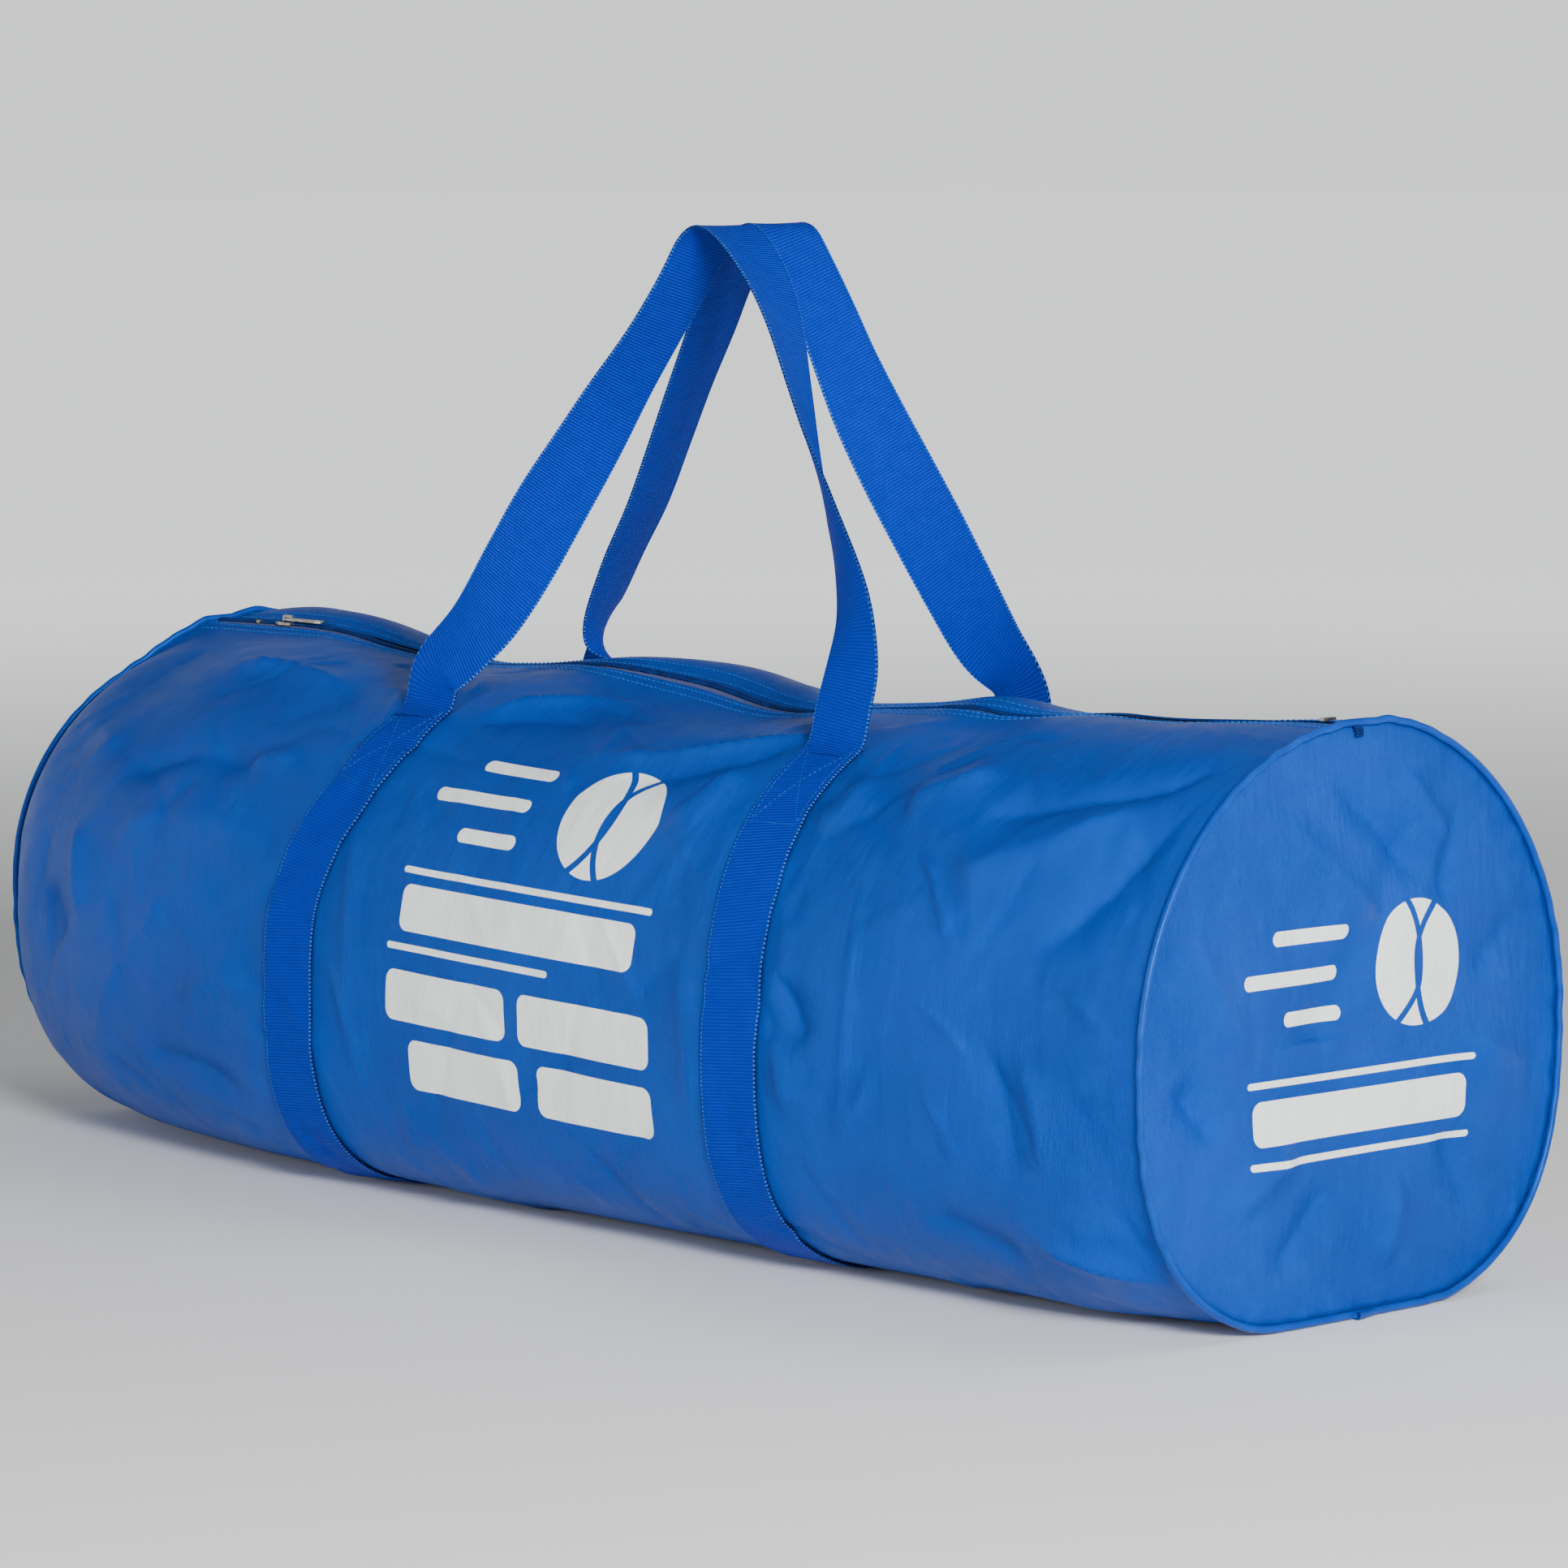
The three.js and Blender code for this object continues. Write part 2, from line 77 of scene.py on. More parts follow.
# ------------------------------------------------------------------ sizes, as in the CAD
RIGHT_LENGTH = 450.0
LEFT_LENGTH = 465.0
BEND_START = -200.0
BEND_ANGLE = math.radians(20)
END_HALF_WIDTH = 151.0
MID_HALF_WIDTH = 157.0
END_MIDDLE_HEIGHT = 140.0
MID_MIDDLE_HEIGHT = 118.0
RAMP = 120.0
FLOOR_LIFT = 2.5
ZIP_LEFT = (28.0, 287.0)
ZIP_RIGHT = (-2.0, 291.0)
ZIP_SAG = 11.0
SLOT_HALF = 7.3
HINGE_HEIGHT = 190.0
WEB_WIDTH = 40.0
WEB_THICKNESS = 1.6
BAND_LIFT = 0.7
BAND_X = {"left": -175.0, "right": 175.0}
ANCHOR_Y = 77.0
ANCHOR_X = {
    ("front", "left"): -150.0,
    ("front", "right"): 168.0,
    ("rear", "left"): -182.0,
    ("rear", "right"): 150.0,
}
CLOTH = 1.0
FLAP_END = 245.0  # the cloth opens fully as far as this from the middle
SHELL_START = 350.0  # and stays shut beyond this
SIDES = ("front", "rear")

right_disc_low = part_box("right_end_panel")[0]
band_low, band_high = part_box("right_band")
SHIFT = np.array(
    [
        right_disc_low.x * 1000 - RIGHT_LENGTH - 0.3,
        (band_low.y + band_high.y) * 500,
        0.0,
    ]
)


def place(points):
    """Bag frame in millimetres to row frame in metres."""
    return (np.asarray(points, float) + SHIFT) / 1000


# ------------------------------------------------------------------ camera
CAMERA_SPOT = (2518.0, -2329.0, 588.0)
CAMERA_AZIMUTH = 46.7
CAMERA_ELEVATION = 6.0
camera_data = bpy.data.cameras.new("camera")
camera_data.lens = 148.34
camera_data.sensor_width = 36
camera_data.clip_end = 50
camera = bpy.data.objects.new("camera", camera_data)
camera.location = place(CAMERA_SPOT)
camera.rotation_euler = (
    math.radians(90 - CAMERA_ELEVATION),
    0,
    math.radians(CAMERA_AZIMUTH),
)
bpy.context.scene.collection.objects.link(camera)
bpy.context.scene.camera = camera


# ------------------------------------------------------------------ the bag's smooth surface
def smooth(t):
    t = np.clip(t, 0, 1)
    return t * t * (3 - 2 * t)


def mix(a, b, t):
    return a + (b - a) * t


CURVATURE = BEND_ANGLE / (LEFT_LENGTH + BEND_START)
ZIP_SLOPE = (ZIP_LEFT[0] - ZIP_RIGHT[0]) / (RIGHT_LENGTH + LEFT_LENGTH)


def centre_line(s):
    turn = CURVATURE * np.maximum(BEND_START - s, 0)
    x = np.where(turn > 0, BEND_START - np.sin(turn) / CURVATURE, s)
    return x, (1 - np.cos(turn)) / CURVATURE, turn


def zip_offset(s, aside=0.0):
    x, y, turn = centre_line(s)
    level = ZIP_RIGHT[0] + ZIP_SLOPE * (RIGHT_LENGTH - x) + aside
    return (level - y) / (np.cos(turn) + ZIP_SLOPE * np.sin(turn))


def zip_height(s):
    along = (s + LEFT_LENGTH) / (RIGHT_LENGTH + LEFT_LENGTH)
    sag = ZIP_SAG * (1 - smooth((np.abs(s) - 210) / 90))
    return mix(ZIP_LEFT[1], ZIP_RIGHT[1], along) - sag


def section(s):
    end = np.where(s < 0, LEFT_LENGTH, RIGHT_LENGTH)
    full = 1 - smooth((np.abs(s) - end + RAMP) / RAMP)
    middle = 1 - smooth((np.abs(s) - 180) / 270)
    half = mix(END_HALF_WIDTH, MID_HALF_WIDTH, full)
    centre = mix(END_MIDDLE_HEIGHT, MID_MIDDLE_HEIGHT, middle)
    upper = mix(2.0, 2.2, middle)
    lean = (np.abs(zip_offset(s)) / half) ** upper
    rise = (zip_height(s) + 1 - centre) / (1 - lean) ** (1 / upper)
    clear_of_bands = smooth((np.abs(np.abs(s) - 175) - 24) / 25)
    floor = FLOOR_LIFT - 1.4 * clear_of_bands + 2.2 * smooth((np.abs(s) - end + 10) / 8)
    return half, centre, rise, upper, mix(2.7, 3.2, full), floor


def skin(s, angle):
    """Points of the smooth surface; angle goes round from the top over the front."""
    half, centre, rise, upper, lower, floor = section(s)
    x, y, turn = centre_line(s)
    up = np.cos(angle)
    aside = np.sin(angle)
    power = 2 / np.where(up > 0, upper, lower)
    across = -half * np.sign(aside) * np.abs(aside) ** power
    z = centre + np.where(up > 0, rise, centre + 2) * np.sign(up) * np.abs(up) ** power
    z = floor + np.logaddexp(0, (z - floor) / 1.5) * 1.5
    top = zip_height(s) + 1.0
    z = top - np.logaddexp(0, (top - z) / 1.2) * 1.2
    return np.stack([x + across * np.sin(turn), y + across * np.cos(turn), z], -1)


def angle_across(s, across):
    half, _, _, upper, _, _ = section(s)
    return -np.sign(across) * np.arcsin((np.abs(across) / half) ** (upper / 2))


# ------------------------------------------------------------------ folds in the cloth
# Each fold is a line on one side of the bag: side, then its two ends as (s, w) where w is the
# distance down the cloth from the zip, its height, and its half width. A negative height is a
# valley.
FOLDS = [
    # right end: soft folds that run in from the end seam
    ("front", (438, 60), (300, 127), -4.2, 9),
    ("front", (405, 100), (300, 165), 4.6, 17),
    ("front", (436, 88), (372, 195), -4.6, 13),
    ("front", (305, 92), (250, 118), 3.6, 12),
    ("front", (214, 92), (206, 138), 3.2, 11),
    ("front", (285, 148), (328, 198), 2.0, 4),
    ("front", (250, 150), (249, 300), 1.2, 3.5),
    ("front", (302, 220), (348, 247), 1.2, 3.5),
    ("front", (278, 252), (250, 292), 1.2, 3.5),
    ("front", (310, 262), (335, 300), 1.0, 4),
    ("front", (204, 212), (228, 248), -3.6, 8),
    ("front", (204, 240), (216, 280), 3.4, 10),
    ("front", (352, 232), (372, 302), -2.6, 8),
    ("front", (376, 236), (392, 296), 2.4, 8),
    ("front", (372, 326), (446, 348), 4.2, 7),
    ("front", (300, 330), (372, 345), -2.4, 9),
    ("front", (428, 302), (442, 334), -2.4, 6),
    ("front", (400, 200), (440, 232), 1.8, 8),
    # between the bands
    ("front", (145, 58), (0, 104), 3.2, 6),
    ("front", (140, 74), (30, 122), -2.4, 12),
    ("front", (118, 96), (94, 150), 3.0, 13),
    ("front", (-112, 84), (-22, 34), 3.2, 7),
    ("front", (-110, 96), (-20, 66), -2.6, 12),
    ("front", (130, 205), (142, 300), 2.0, 9),
    ("front", (-140, 170), (-128, 290), 1.8, 9),
    # left end
    ("front", (-345, 76), (-225, 80), 4.2, 10),
    ("front", (-350, 168), (-236, 148), -4.4, 15),
    ("front", (-335, 203), (-205, 192), 3.6, 14),
    ("front", (-250, 152), (-214, 138), 2.2, 6),
    ("front", (-366, 190), (-352, 250), 3.2, 10),
    ("front", (-392, 224), (-372, 262), -3.4, 11),
    ("front", (-262, 288), (-208, 270), 2.4, 9),
    ("front", (-310, 330), (-215, 336), -3.2, 10),
    ("front", (-420, 120), (-360, 150), 2.6, 14),
    ("front", (-300, 250), (-230, 226), 1.6, 12),
    # the rear, which the camera doesn't see
    ("rear", (-220, 50), (-330, 110), -4.0, 14),
    ("rear", (190, 60), (330, 120), -4.0, 14),
    ("rear", (-120, 80), (100, 120), 3.5, 16),
    ("rear", (-400, 120), (-300, 300), 4.0, 16),
    ("rear", (400, 120), (280, 300), 4.0, 16),
    ("rear", (60, 180), (200, 330), -3.5, 13),
    ("rear", (-260, 220), (-210, 330), 3.0, 9),
    ("rear", (430, 80), (330, 150), 4.0, 12),
]
# Broad bulges: side, (s, w), height, half length, half width.
BULGES = [
    ("front", (405, 330), 7.0, 60, 60),
    ("front", (300, 200), 2.5, 90, 90),
    ("front", (-360, 250), 3.0, 80, 90),
    ("front", (-340, 40), 4.0, 60, 40),
    ("front", (0, 200), 2.0, 110, 90),
    ("front", (-260, 90), -5.0, 45, 45),
    ("rear", (405, 330), 6.0, 60, 60),
    ("rear", (0, 200), 3.0, 110, 90),
]
FOLD_GAIN = 1.6
DISC_GAIN = 2.3
random = np.random.default_rng(7)


def small_folds(side, count):
    """Random short creases over one side of the bag."""
    found = []
    for _ in range(count):
        s = random.uniform(-LEFT_LENGTH + 20, RIGHT_LENGTH - 20)
        w = random.uniform(20, 400)
        length = random.uniform(25, 110)
        lean = random.uniform(-1.1, 1.1) + (0 if random.random() < 0.5 else math.pi / 2)
        height = random.choice([-1, 1]) * random.uniform(0.3, 1.1)
        ends = (s + length * math.cos(lean), w + length * math.sin(lean))
        found.append((side, (s, w), ends, height, random.uniform(3.5, 9)))
    return found


ALL_FOLDS = FOLDS + small_folds("front", 190) + small_folds("rear", 120)


def fold_height(side, s, w):
    """How far the folded cloth stands out of the smooth surface."""
    total = np.zeros(np.broadcast(s, w).shape)
    for where, start, end, height, width in ALL_FOLDS:
        if where != side:
            continue
        start, end = np.array(start, float), np.array(end, float)
        run = end - start
        length = np.hypot(*run)
        ds, dw = s - start[0], w - start[1]
        t = (ds * run[0] + dw * run[1]) / length**2
        bow = 0.06 * length * np.sin(np.pi * np.clip(t, 0, 1))
        d = (ds * run[1] - dw * run[0]) / length - bow
        window = smooth(t * 3.2 + 0.1) * smooth((1 - t) * 3.2 + 0.1)
        spread = width * (0.7 + 0.6 * np.clip(t, 0, 1))
        total += FOLD_GAIN * height * window * np.exp(-np.abs(d / spread) ** 1.25)
    for where, (s0, w0), height, long, wide in BULGES:
        if where == side:
            total += height * np.exp(-(((s - s0) / long) ** 2) - ((w - w0) / wide) ** 2)
    return total


def hump(s, centre, width):
    return np.exp(-(((s - centre) / width) ** 2))


def near_zip(side, s, w):
    """How the cloth beside the zip leans: a shift in y and in z."""
    lift = 6 * hump(s, -110, 60) - 7 * hump(s, 65, 55) + 3 * hump(s, 195, 30)
    lift = lift - 7 * hump(s, -285, 45) - 7 * hump(s, 320, 70)
    lean = 9 * hump(s, -390, 80) + 11 * hump(s, -20, 100) + 5 * hump(s, 195, 45) + 1.5
    lean = lean - 5 * hump(s, 330, 75)
    aside = -6 * hump(s, -100, 60) - 20 * hump(s, 55, 80) - 12 * hump(s, 190, 60)
    fade = np.exp(-((w / 75) ** 2))
    if side == "front":
        lift = lift * fade - 0.7 * lean * (w / 38) * np.exp(1 - w / 38)
    else:
        lift = lift * fade + lean * (w / 26) * np.exp(1 - w / 26)
    return aside * fade, lift


def puckers(s, w, phase):
    """Small gathers along both end seams."""
    total = 0
    for end in (-LEFT_LENGTH, RIGHT_LENGTH):
        near = np.exp(-np.abs(s - end) / 16)
        wave = np.sin(w / 2.6 + phase) + 0.7 * np.sin(w / 4.1 + 2 * phase)
        total = total + near * 0.32 * wave * (0.5 + 0.5 * np.sin(w / 37 + phase))
    return total


# ------------------------------------------------------------------ the cloth as two grids
ROWS = 300
UPPER = 66  # columns from the zip to the fold line
LOWER = 94  # and from there to the middle of the underside
STATIONS = np.linspace(-LEFT_LENGTH, RIGHT_LENGTH, ROWS)
STEP = STATIONS[1] - STATIONS[0]


def normals_of(points):
    along = np.gradient(points, axis=0)
    down = np.gradient(points, axis=1)
    n = np.cross(along, down)
    return n / np.linalg.norm(n, axis=-1, keepdims=True)


def make_half(side):
    sign = -1 if side == "front" else 1
    points = np.zeros((ROWS, UPPER + LOWER + 1, 3))
    upper_length = np.zeros(ROWS)
    lower_length = np.zeros(ROWS)
    for i, s in enumerate(STATIONS):
        edge = angle_across(s, zip_offset(s, sign * SLOT_HALF))
        dense = skin(s, np.linspace(edge, -sign * math.pi, 3000))
        run = np.concatenate([[0], np.cumsum(np.linalg.norm(np.diff(dense, axis=0), axis=1))])
        fold_line = np.argmax(dense[:, 2] < HINGE_HEIGHT)
        upper_length[i] = run[fold_line]
        lower_length[i] = run[-1] - run[fold_line]
        places = np.concatenate(
            [
                np.linspace(0, run[fold_line], UPPER + 1),
                np.linspace(run[fold_line], run[-1], LOWER + 1)[1:],
            ]
        )
        for k in range(3):
            points[i, :, k] = np.interp(places, run, dense[:, k])
    w = np.concatenate(
        [
            np.linspace(0, 1, UPPER + 1)[None] * upper_length[:, None],
            upper_length[:, None]
            + np.linspace(0, 1, LOWER + 1)[None, 1:] * lower_length[:, None],
        ],
        1,
    )
    normals = normals_of(points) * (1 if side == "front" else -1)
    if np.mean(normals[:, 0, 2]) < 0:
        normals = -normals
    s = STATIONS[:, None]
    rest = (upper_length + lower_length)[:, None] - w
    ends = np.minimum(s + LEFT_LENGTH, RIGHT_LENGTH - s)
    height = fold_height(side, s, w)
    height = height * smooth(rest / 90) * (0.12 + 0.88 * smooth(ends / 45)) * smooth(w / 26 + 0.15)
    height = height + puckers(s, w, 0.6 if side == "front" else 1.9) * smooth(rest / 90)
    points = points + normals * height[..., None]
    aside, lift = near_zip(side, s, w)
    points[..., 1] += aside
    points[..., 2] += lift
    # the left end rounds over its seam
    rounding = 3.0 * hump(s, -425, 22) - 7.0 * smooth((-438 - s) / 26)
    points = points + normals * (rounding * smooth(rest / 90) * smooth(w / 60))[..., None]
    points[..., 2] = np.maximum(points[..., 2], section(s)[5] - 0.2)
    normals = normals_of(points)
    if np.mean(normals[:, 0, 2]) < 0:
        normals = -normals
    return {
        "points": points,
        "normals": normals,
        "w": w,
        "upper": upper_length,
        "lower": lower_length,
    }


halves = {side: make_half(side) for side in SIDES}


def sample(side, s, w, lift=0.0):
    """Points on the folded cloth, lifted off it. w below 0 runs on over the zip."""
    half = halves[side]
    s, w, lift = np.broadcast_arrays(np.asarray(s, float), np.asarray(w, float), lift)
    i = np.clip((s - STATIONS[0]) / STEP, 0, ROWS - 1.001)
    i0 = i.astype(int)
    fi = i - i0
    upper = mix(half["upper"][i0], half["upper"][i0 + 1], fi)
    lower = mix(half["lower"][i0], half["lower"][i0 + 1], fi)
    j = np.where(w < upper, w / upper * UPPER, UPPER + (w - upper) / lower * LOWER)
    j0 = np.clip(j.astype(int), 0, UPPER + LOWER - 1)
    fj = (j - j0)[..., None]
    fi = fi[..., None]

    def at(grid, fj):
        low = mix(grid[i0, j0], grid[i0, j0 + 1], fj)
        high = mix(grid[i0 + 1, j0], grid[i0 + 1, j0 + 1], fj)
        return mix(low, high, fi)

    n = at(half["normals"], np.clip(fj, 0, 1))
    n = n / np.linalg.norm(n, axis=-1, keepdims=True)
    return at(half["points"], fj) + n * lift[..., None], n


def w_at_height(side, s, z):
    """How far down the cloth a height lies."""
    places = np.arange(0, 330, 1.0)
    heights = sample(side, np.full_like(places, s), places)[0][:, 2]
    return float(np.interp(-z, -heights, places))


# ------------------------------------------------------------------ mesh helpers
def new_object(name, points, faces, material, uv=None, normals=None, flat=0):
    """A mesh piece; its last \"flat\" faces are a rim and stay sharp."""
    mesh = bpy.data.meshes.new(name)
    mesh.from_pydata(place(points).tolist(), [], [tuple(f) for f in faces])
    rounded = np.ones(len(mesh.polygons), bool)
    rounded[len(rounded) - flat :] = False
    mesh.polygons.foreach_set("use_smooth", rounded)
    corner = np.zeros(len(mesh.loops), int)
    mesh.loops.foreach_get("vertex_index", corner)
    if uv is not None:
        layer = mesh.uv_layers.new(name="cloth")
        layer.data.foreach_set("uv", (np.asarray(uv)[corner] / 1000).ravel())
    mesh.materials.append(material)
    if normals is not None:
        mesh.normals_split_custom_set_from_vertices(np.asarray(normals).tolist())
    mesh.validate()
    obj = bpy.data.objects.new(name, mesh)
    bpy.context.scene.collection.objects.link(obj)
    return obj


def sheet_faces(rows, columns, base=0, flip=False):
    i, j = np.meshgrid(np.arange(rows - 1), np.arange(columns - 1), indexing="ij")
    a = base + i * columns + j
    quads = np.stack([a, a + 1, a + columns + 1, a + columns], -1).reshape(-1, 4)
    return quads[:, ::-1] if flip else quads


def two_faced(name, top, low, normals, material, uv, flip):
    """A closed piece between two grids of points, with the same normals as its neighbours."""
    rows, columns = top.shape[:2]
    count = rows * columns
    a = np.arange(count).reshape(rows, columns)
    loop = np.concatenate([a[0, :-1], a[:-1, -1], a[-1, :0:-1], a[:0:-1, 0]])
    after = np.roll(loop, -1)
    rim = np.stack([loop, loop + count, after + count, after], -1)
    faces = np.concatenate(
        [
            sheet_faces(rows, columns, 0, flip),
            sheet_faces(rows, columns, count, not flip),
            rim[:, ::-1] if flip else rim,
        ]
    )
    points = np.concatenate([top.reshape(-1, 3), low.reshape(-1, 3)])
    both = np.concatenate([normals.reshape(-1, 3), -normals.reshape(-1, 3)])
    coords = np.concatenate([uv.reshape(-1, 2)] * 2)
    return new_object(name, points, faces, material, coords, both, len(rim))


def solid_sheet(name, outer, normals, thickness, material, uv, flip=False):
    """A grid of points given a thickness, with its rim closed."""
    return two_faced(name, outer, outer - normals * thickness, normals, material, uv, flip)


# ------------------------------------------------------------------ materials
class Shader:
    """A few short calls for building a node material."""

    def __init__(self, name):
        self.material = bpy.data.materials.new(name)
        self.material.use_nodes = True
        self.tree = self.material.node_tree
        self.principled = next(n for n in self.tree.nodes if n.type == "BSDF_PRINCIPLED")

    def node(self, kind, inputs=None, **settings):
        made = self.tree.nodes.new(kind)
        for key, value in settings.items():
            setattr(made, key, value)
        for key, value in (inputs or {}).items():
            self.set(made.inputs[key], value)
        return made

    def set(self, socket, value):
        if hasattr(value, "is_output"):
            self.tree.links.new(value, socket)
        else:
            socket.default_value = value

    def math(self, operation, a, b=0.0, c=0.0):
        made = self.node("ShaderNodeMath", {0: a, 1: b, 2: c}, operation=operation)
        return made.outputs[0]

    def uv(self):
        made = self.node("ShaderNodeUVMap", uv_map="cloth")
        split = self.node("ShaderNodeSeparateXYZ", {0: made.outputs[0]})
        return made.outputs[0], split.outputs[0], split.outputs[1]

    def noise(self, vector, scale, detail=3.0, rough=0.5):
        inputs = {"Vector": vector, "Scale": scale, "Detail": detail, "Roughness": rough}
        return self.node("ShaderNodeTexNoise", inputs).outputs["Fac"]

    def ramp(self, value, low, high, start=0.0, end=1.0):
        inputs = {0: value, 1: low, 2: high, 3: start, 4: end}
        made = self.node("ShaderNodeMapRange", inputs, interpolation_type="SMOOTHSTEP")
        return made.outputs[0]

    def mix(self, factor, a, b):
        made = self.node("ShaderNodeMix", data_type="RGBA")
        self.set(made.inputs[0], factor)
        self.set(made.inputs[6], a)
        self.set(made.inputs[7], b)
        return made.outputs[2]

    def stretch(self, vector, scale, turn=0.0):
        inputs = {"Vector": vector, "Rotation": (0, 0, turn), "Scale": scale}
        return self.node("ShaderNodeMapping", inputs).outputs[0]

    def bump(self, height, strength, distance, normal=None):
        inputs = {"Height": height, "Strength": strength, "Distance": distance}
        if normal is not None:
            inputs["Normal"] = normal
        return self.node("ShaderNodeBump", inputs).outputs[0]

    def finish(self, **values):
        for key, value in values.items():
            self.set(self.principled.inputs[key.replace("_", " ")], value)
        return self.material


def rgb(r, g, b):
    return (r, g, b, 1.0)


def waves(shader, u, v, pitch, slope):
    """Ridges across the direction u + slope * v, one every pitch metres."""
    along = shader.math("MULTIPLY_ADD", v, slope, u)
    return shader.math("SINE", shader.math("MULTIPLY", along, 2 * math.pi / pitch))


def disc_distance(sh, u, v, cu, cv, radius):
    du = sh.math("SUBTRACT", u, cu)
    dv = sh.math("SUBTRACT", v, cv)
    far = sh.math("SQRT", sh.math("MULTIPLY_ADD", du, du, sh.math("MULTIPLY", dv, dv)))
    return sh.math("SUBTRACT", far, radius)


def bar_distance(sh, u, v, cu, cv, half_u, half_v, rounding):
    du = sh.math("ABSOLUTE", sh.math("SUBTRACT", u, cu))
    dv = sh.math("ABSOLUTE", sh.math("SUBTRACT", v, cv))
    du = sh.math("MAXIMUM", sh.math("SUBTRACT", du, half_u - rounding), 0.0)
    dv = sh.math("MAXIMUM", sh.math("SUBTRACT", dv, half_v - rounding), 0.0)
    far = sh.math("SQRT", sh.math("MULTIPLY_ADD", du, du, sh.math("MULTIPLY", dv, dv)))
    return sh.math("SUBTRACT", far, rounding)


def emblem(sh, u, v, cu, cv, size, bars):
    """A plain ball with stripes behind it, over plain rounded bars. Metres."""
    ball = disc_distance(sh, u, v, cu + 0.38 * size, cv, 0.30 * size)
    seam = sh.math(
        "ABSOLUTE", disc_distance(sh, u, v, cu + 0.78 * size, cv + 0.05 * size, 0.42 * size)
    )
    other = sh.math(
        "ABSOLUTE", disc_distance(sh, u, v, cu - 0.02 * size, cv - 0.05 * size, 0.42 * size)
    )
    groove = sh.math("SUBTRACT", 0.018 * size, sh.math("MINIMUM", seam, other))
    shape = sh.math("MAXIMUM", ball, groove)
    for k, (start, length) in enumerate([(-0.62, 0.50), (-0.82, 0.66), (-0.54, 0.40)]):
        stripe = bar_distance(
            sh,
            u,
            v,
            cu + (start + length / 2) * size,
            cv + (k - 1) * 0.19 * size,
            length / 2 * size,
            0.035 * size,
            0.035 * size,
        )
        shape = sh.math("MINIMUM", shape, stripe)
    for du, dv, half_u, half_v in bars:
        bar = bar_distance(sh, u, v, cu + du, cv + dv, half_u, half_v, min(half_v, 0.006))
        shape = sh.math("MINIMUM", shape, bar)
    return shape


DEEP_BLUE = rgb(0.0, 0.030, 0.25)
MID_BLUE = rgb(0.0, 0.046, 0.36)
PALE_BLUE = rgb(0.0, 0.10, 0.48)
PRINT_WHITE = rgb(0.88, 0.92, 0.90)


def cloth_material(name, print_shape=None):
    sh = Shader(name)
    vector, u, v = sh.uv()
    broad = sh.noise(vector, 7.0, 4.0, 0.55)
    mottle = sh.noise(vector, 60.0, 5.0, 0.6)
    fine = sh.noise(sh.stretch(vector, (900, 2600, 1), 0.8), 1.0, 2.0)
    twill = waves(sh, u, v, 0.00085, 0.62)
    weft = waves(sh, u, v, 0.0007, -1.7)
    thread = sh.math("MULTIPLY_ADD", weft, 0.4, twill)
    colour = sh.mix(sh.ramp(broad, 0.3, 0.72), DEEP_BLUE, MID_BLUE)
    colour = sh.mix(sh.ramp(mottle, 0.45, 0.8, 0.0, 0.22), colour, PALE_BLUE)
    colour = sh.mix(sh.ramp(thread, -1.4, 1.4, 0.0, 0.32), colour, PALE_BLUE)
    colour = sh.mix(sh.ramp(fine, 0.5, 0.8, 0.0, 0.25), colour, DEEP_BLUE)
    # faint marks of use: pale crease lines and brownish smudges
    lines = sh.noise(sh.stretch(vector, (30, 8, 1), 0.5), 1.0, 8.0, 0.7)
    crease = sh.math("ABSOLUTE", sh.math("SUBTRACT", lines, 0.5))
    colour = sh.mix(sh.ramp(crease, 0.006, 0.0, 0.0, 0.16), colour, PALE_BLUE)
    dirt = sh.noise(sh.stretch(vector, (9, 14, 1), 0.3), 1.0, 6.0, 0.65)
    colour = sh.mix(sh.ramp(dirt, 0.66, 0.80, 0.0, 0.30), colour, rgb(0.05, 0.06, 0.12))
    rough = sh.ramp(mottle, 0.2, 0.8, 0.34, 0.48)
    if print_shape is not None:
        shape = print_shape(sh, u, v)
        ink = sh.ramp(shape, 0.0002, -0.0002)
        worn = sh.noise(vector, 700.0, 4.0, 0.7)
        ink = sh.math("MULTIPLY", ink, sh.ramp(worn, 0.16, 0.34, 0.75, 1.0))
        colour = sh.mix(ink, colour, PRINT_WHITE)
        rough = sh.math("MULTIPLY_ADD", ink, 0.08, rough)
    facets = sh.node(
        "ShaderNodeTexVoronoi",
        {"Vector": sh.stretch(vector, (13, 9, 1), 0.6), "Scale": 1.0},
        feature="SMOOTH_F1",
    ).outputs["Distance"]
    soft = sh.noise(sh.stretch(vector, (22, 12, 1), 0.9), 1.0, 3.0, 0.5)
    bump = sh.bump(thread, 0.6, 0.00016)
    bump = sh.bump(fine, 0.35, 0.0002, bump)
    bump = sh.bump(lines, 0.8, 0.003, bump)
    bump = sh.bump(soft, 0.5, 0.006, bump)
    bump = sh.bump(facets, 0.65, 0.007, bump)
    return sh.finish(
        Base_Color=colour,
        Roughness=rough,
        Normal=bump,
        Specular_IOR_Level=0.26,
        Specular_Tint=rgb(0.35, 0.65, 1.0),
    )


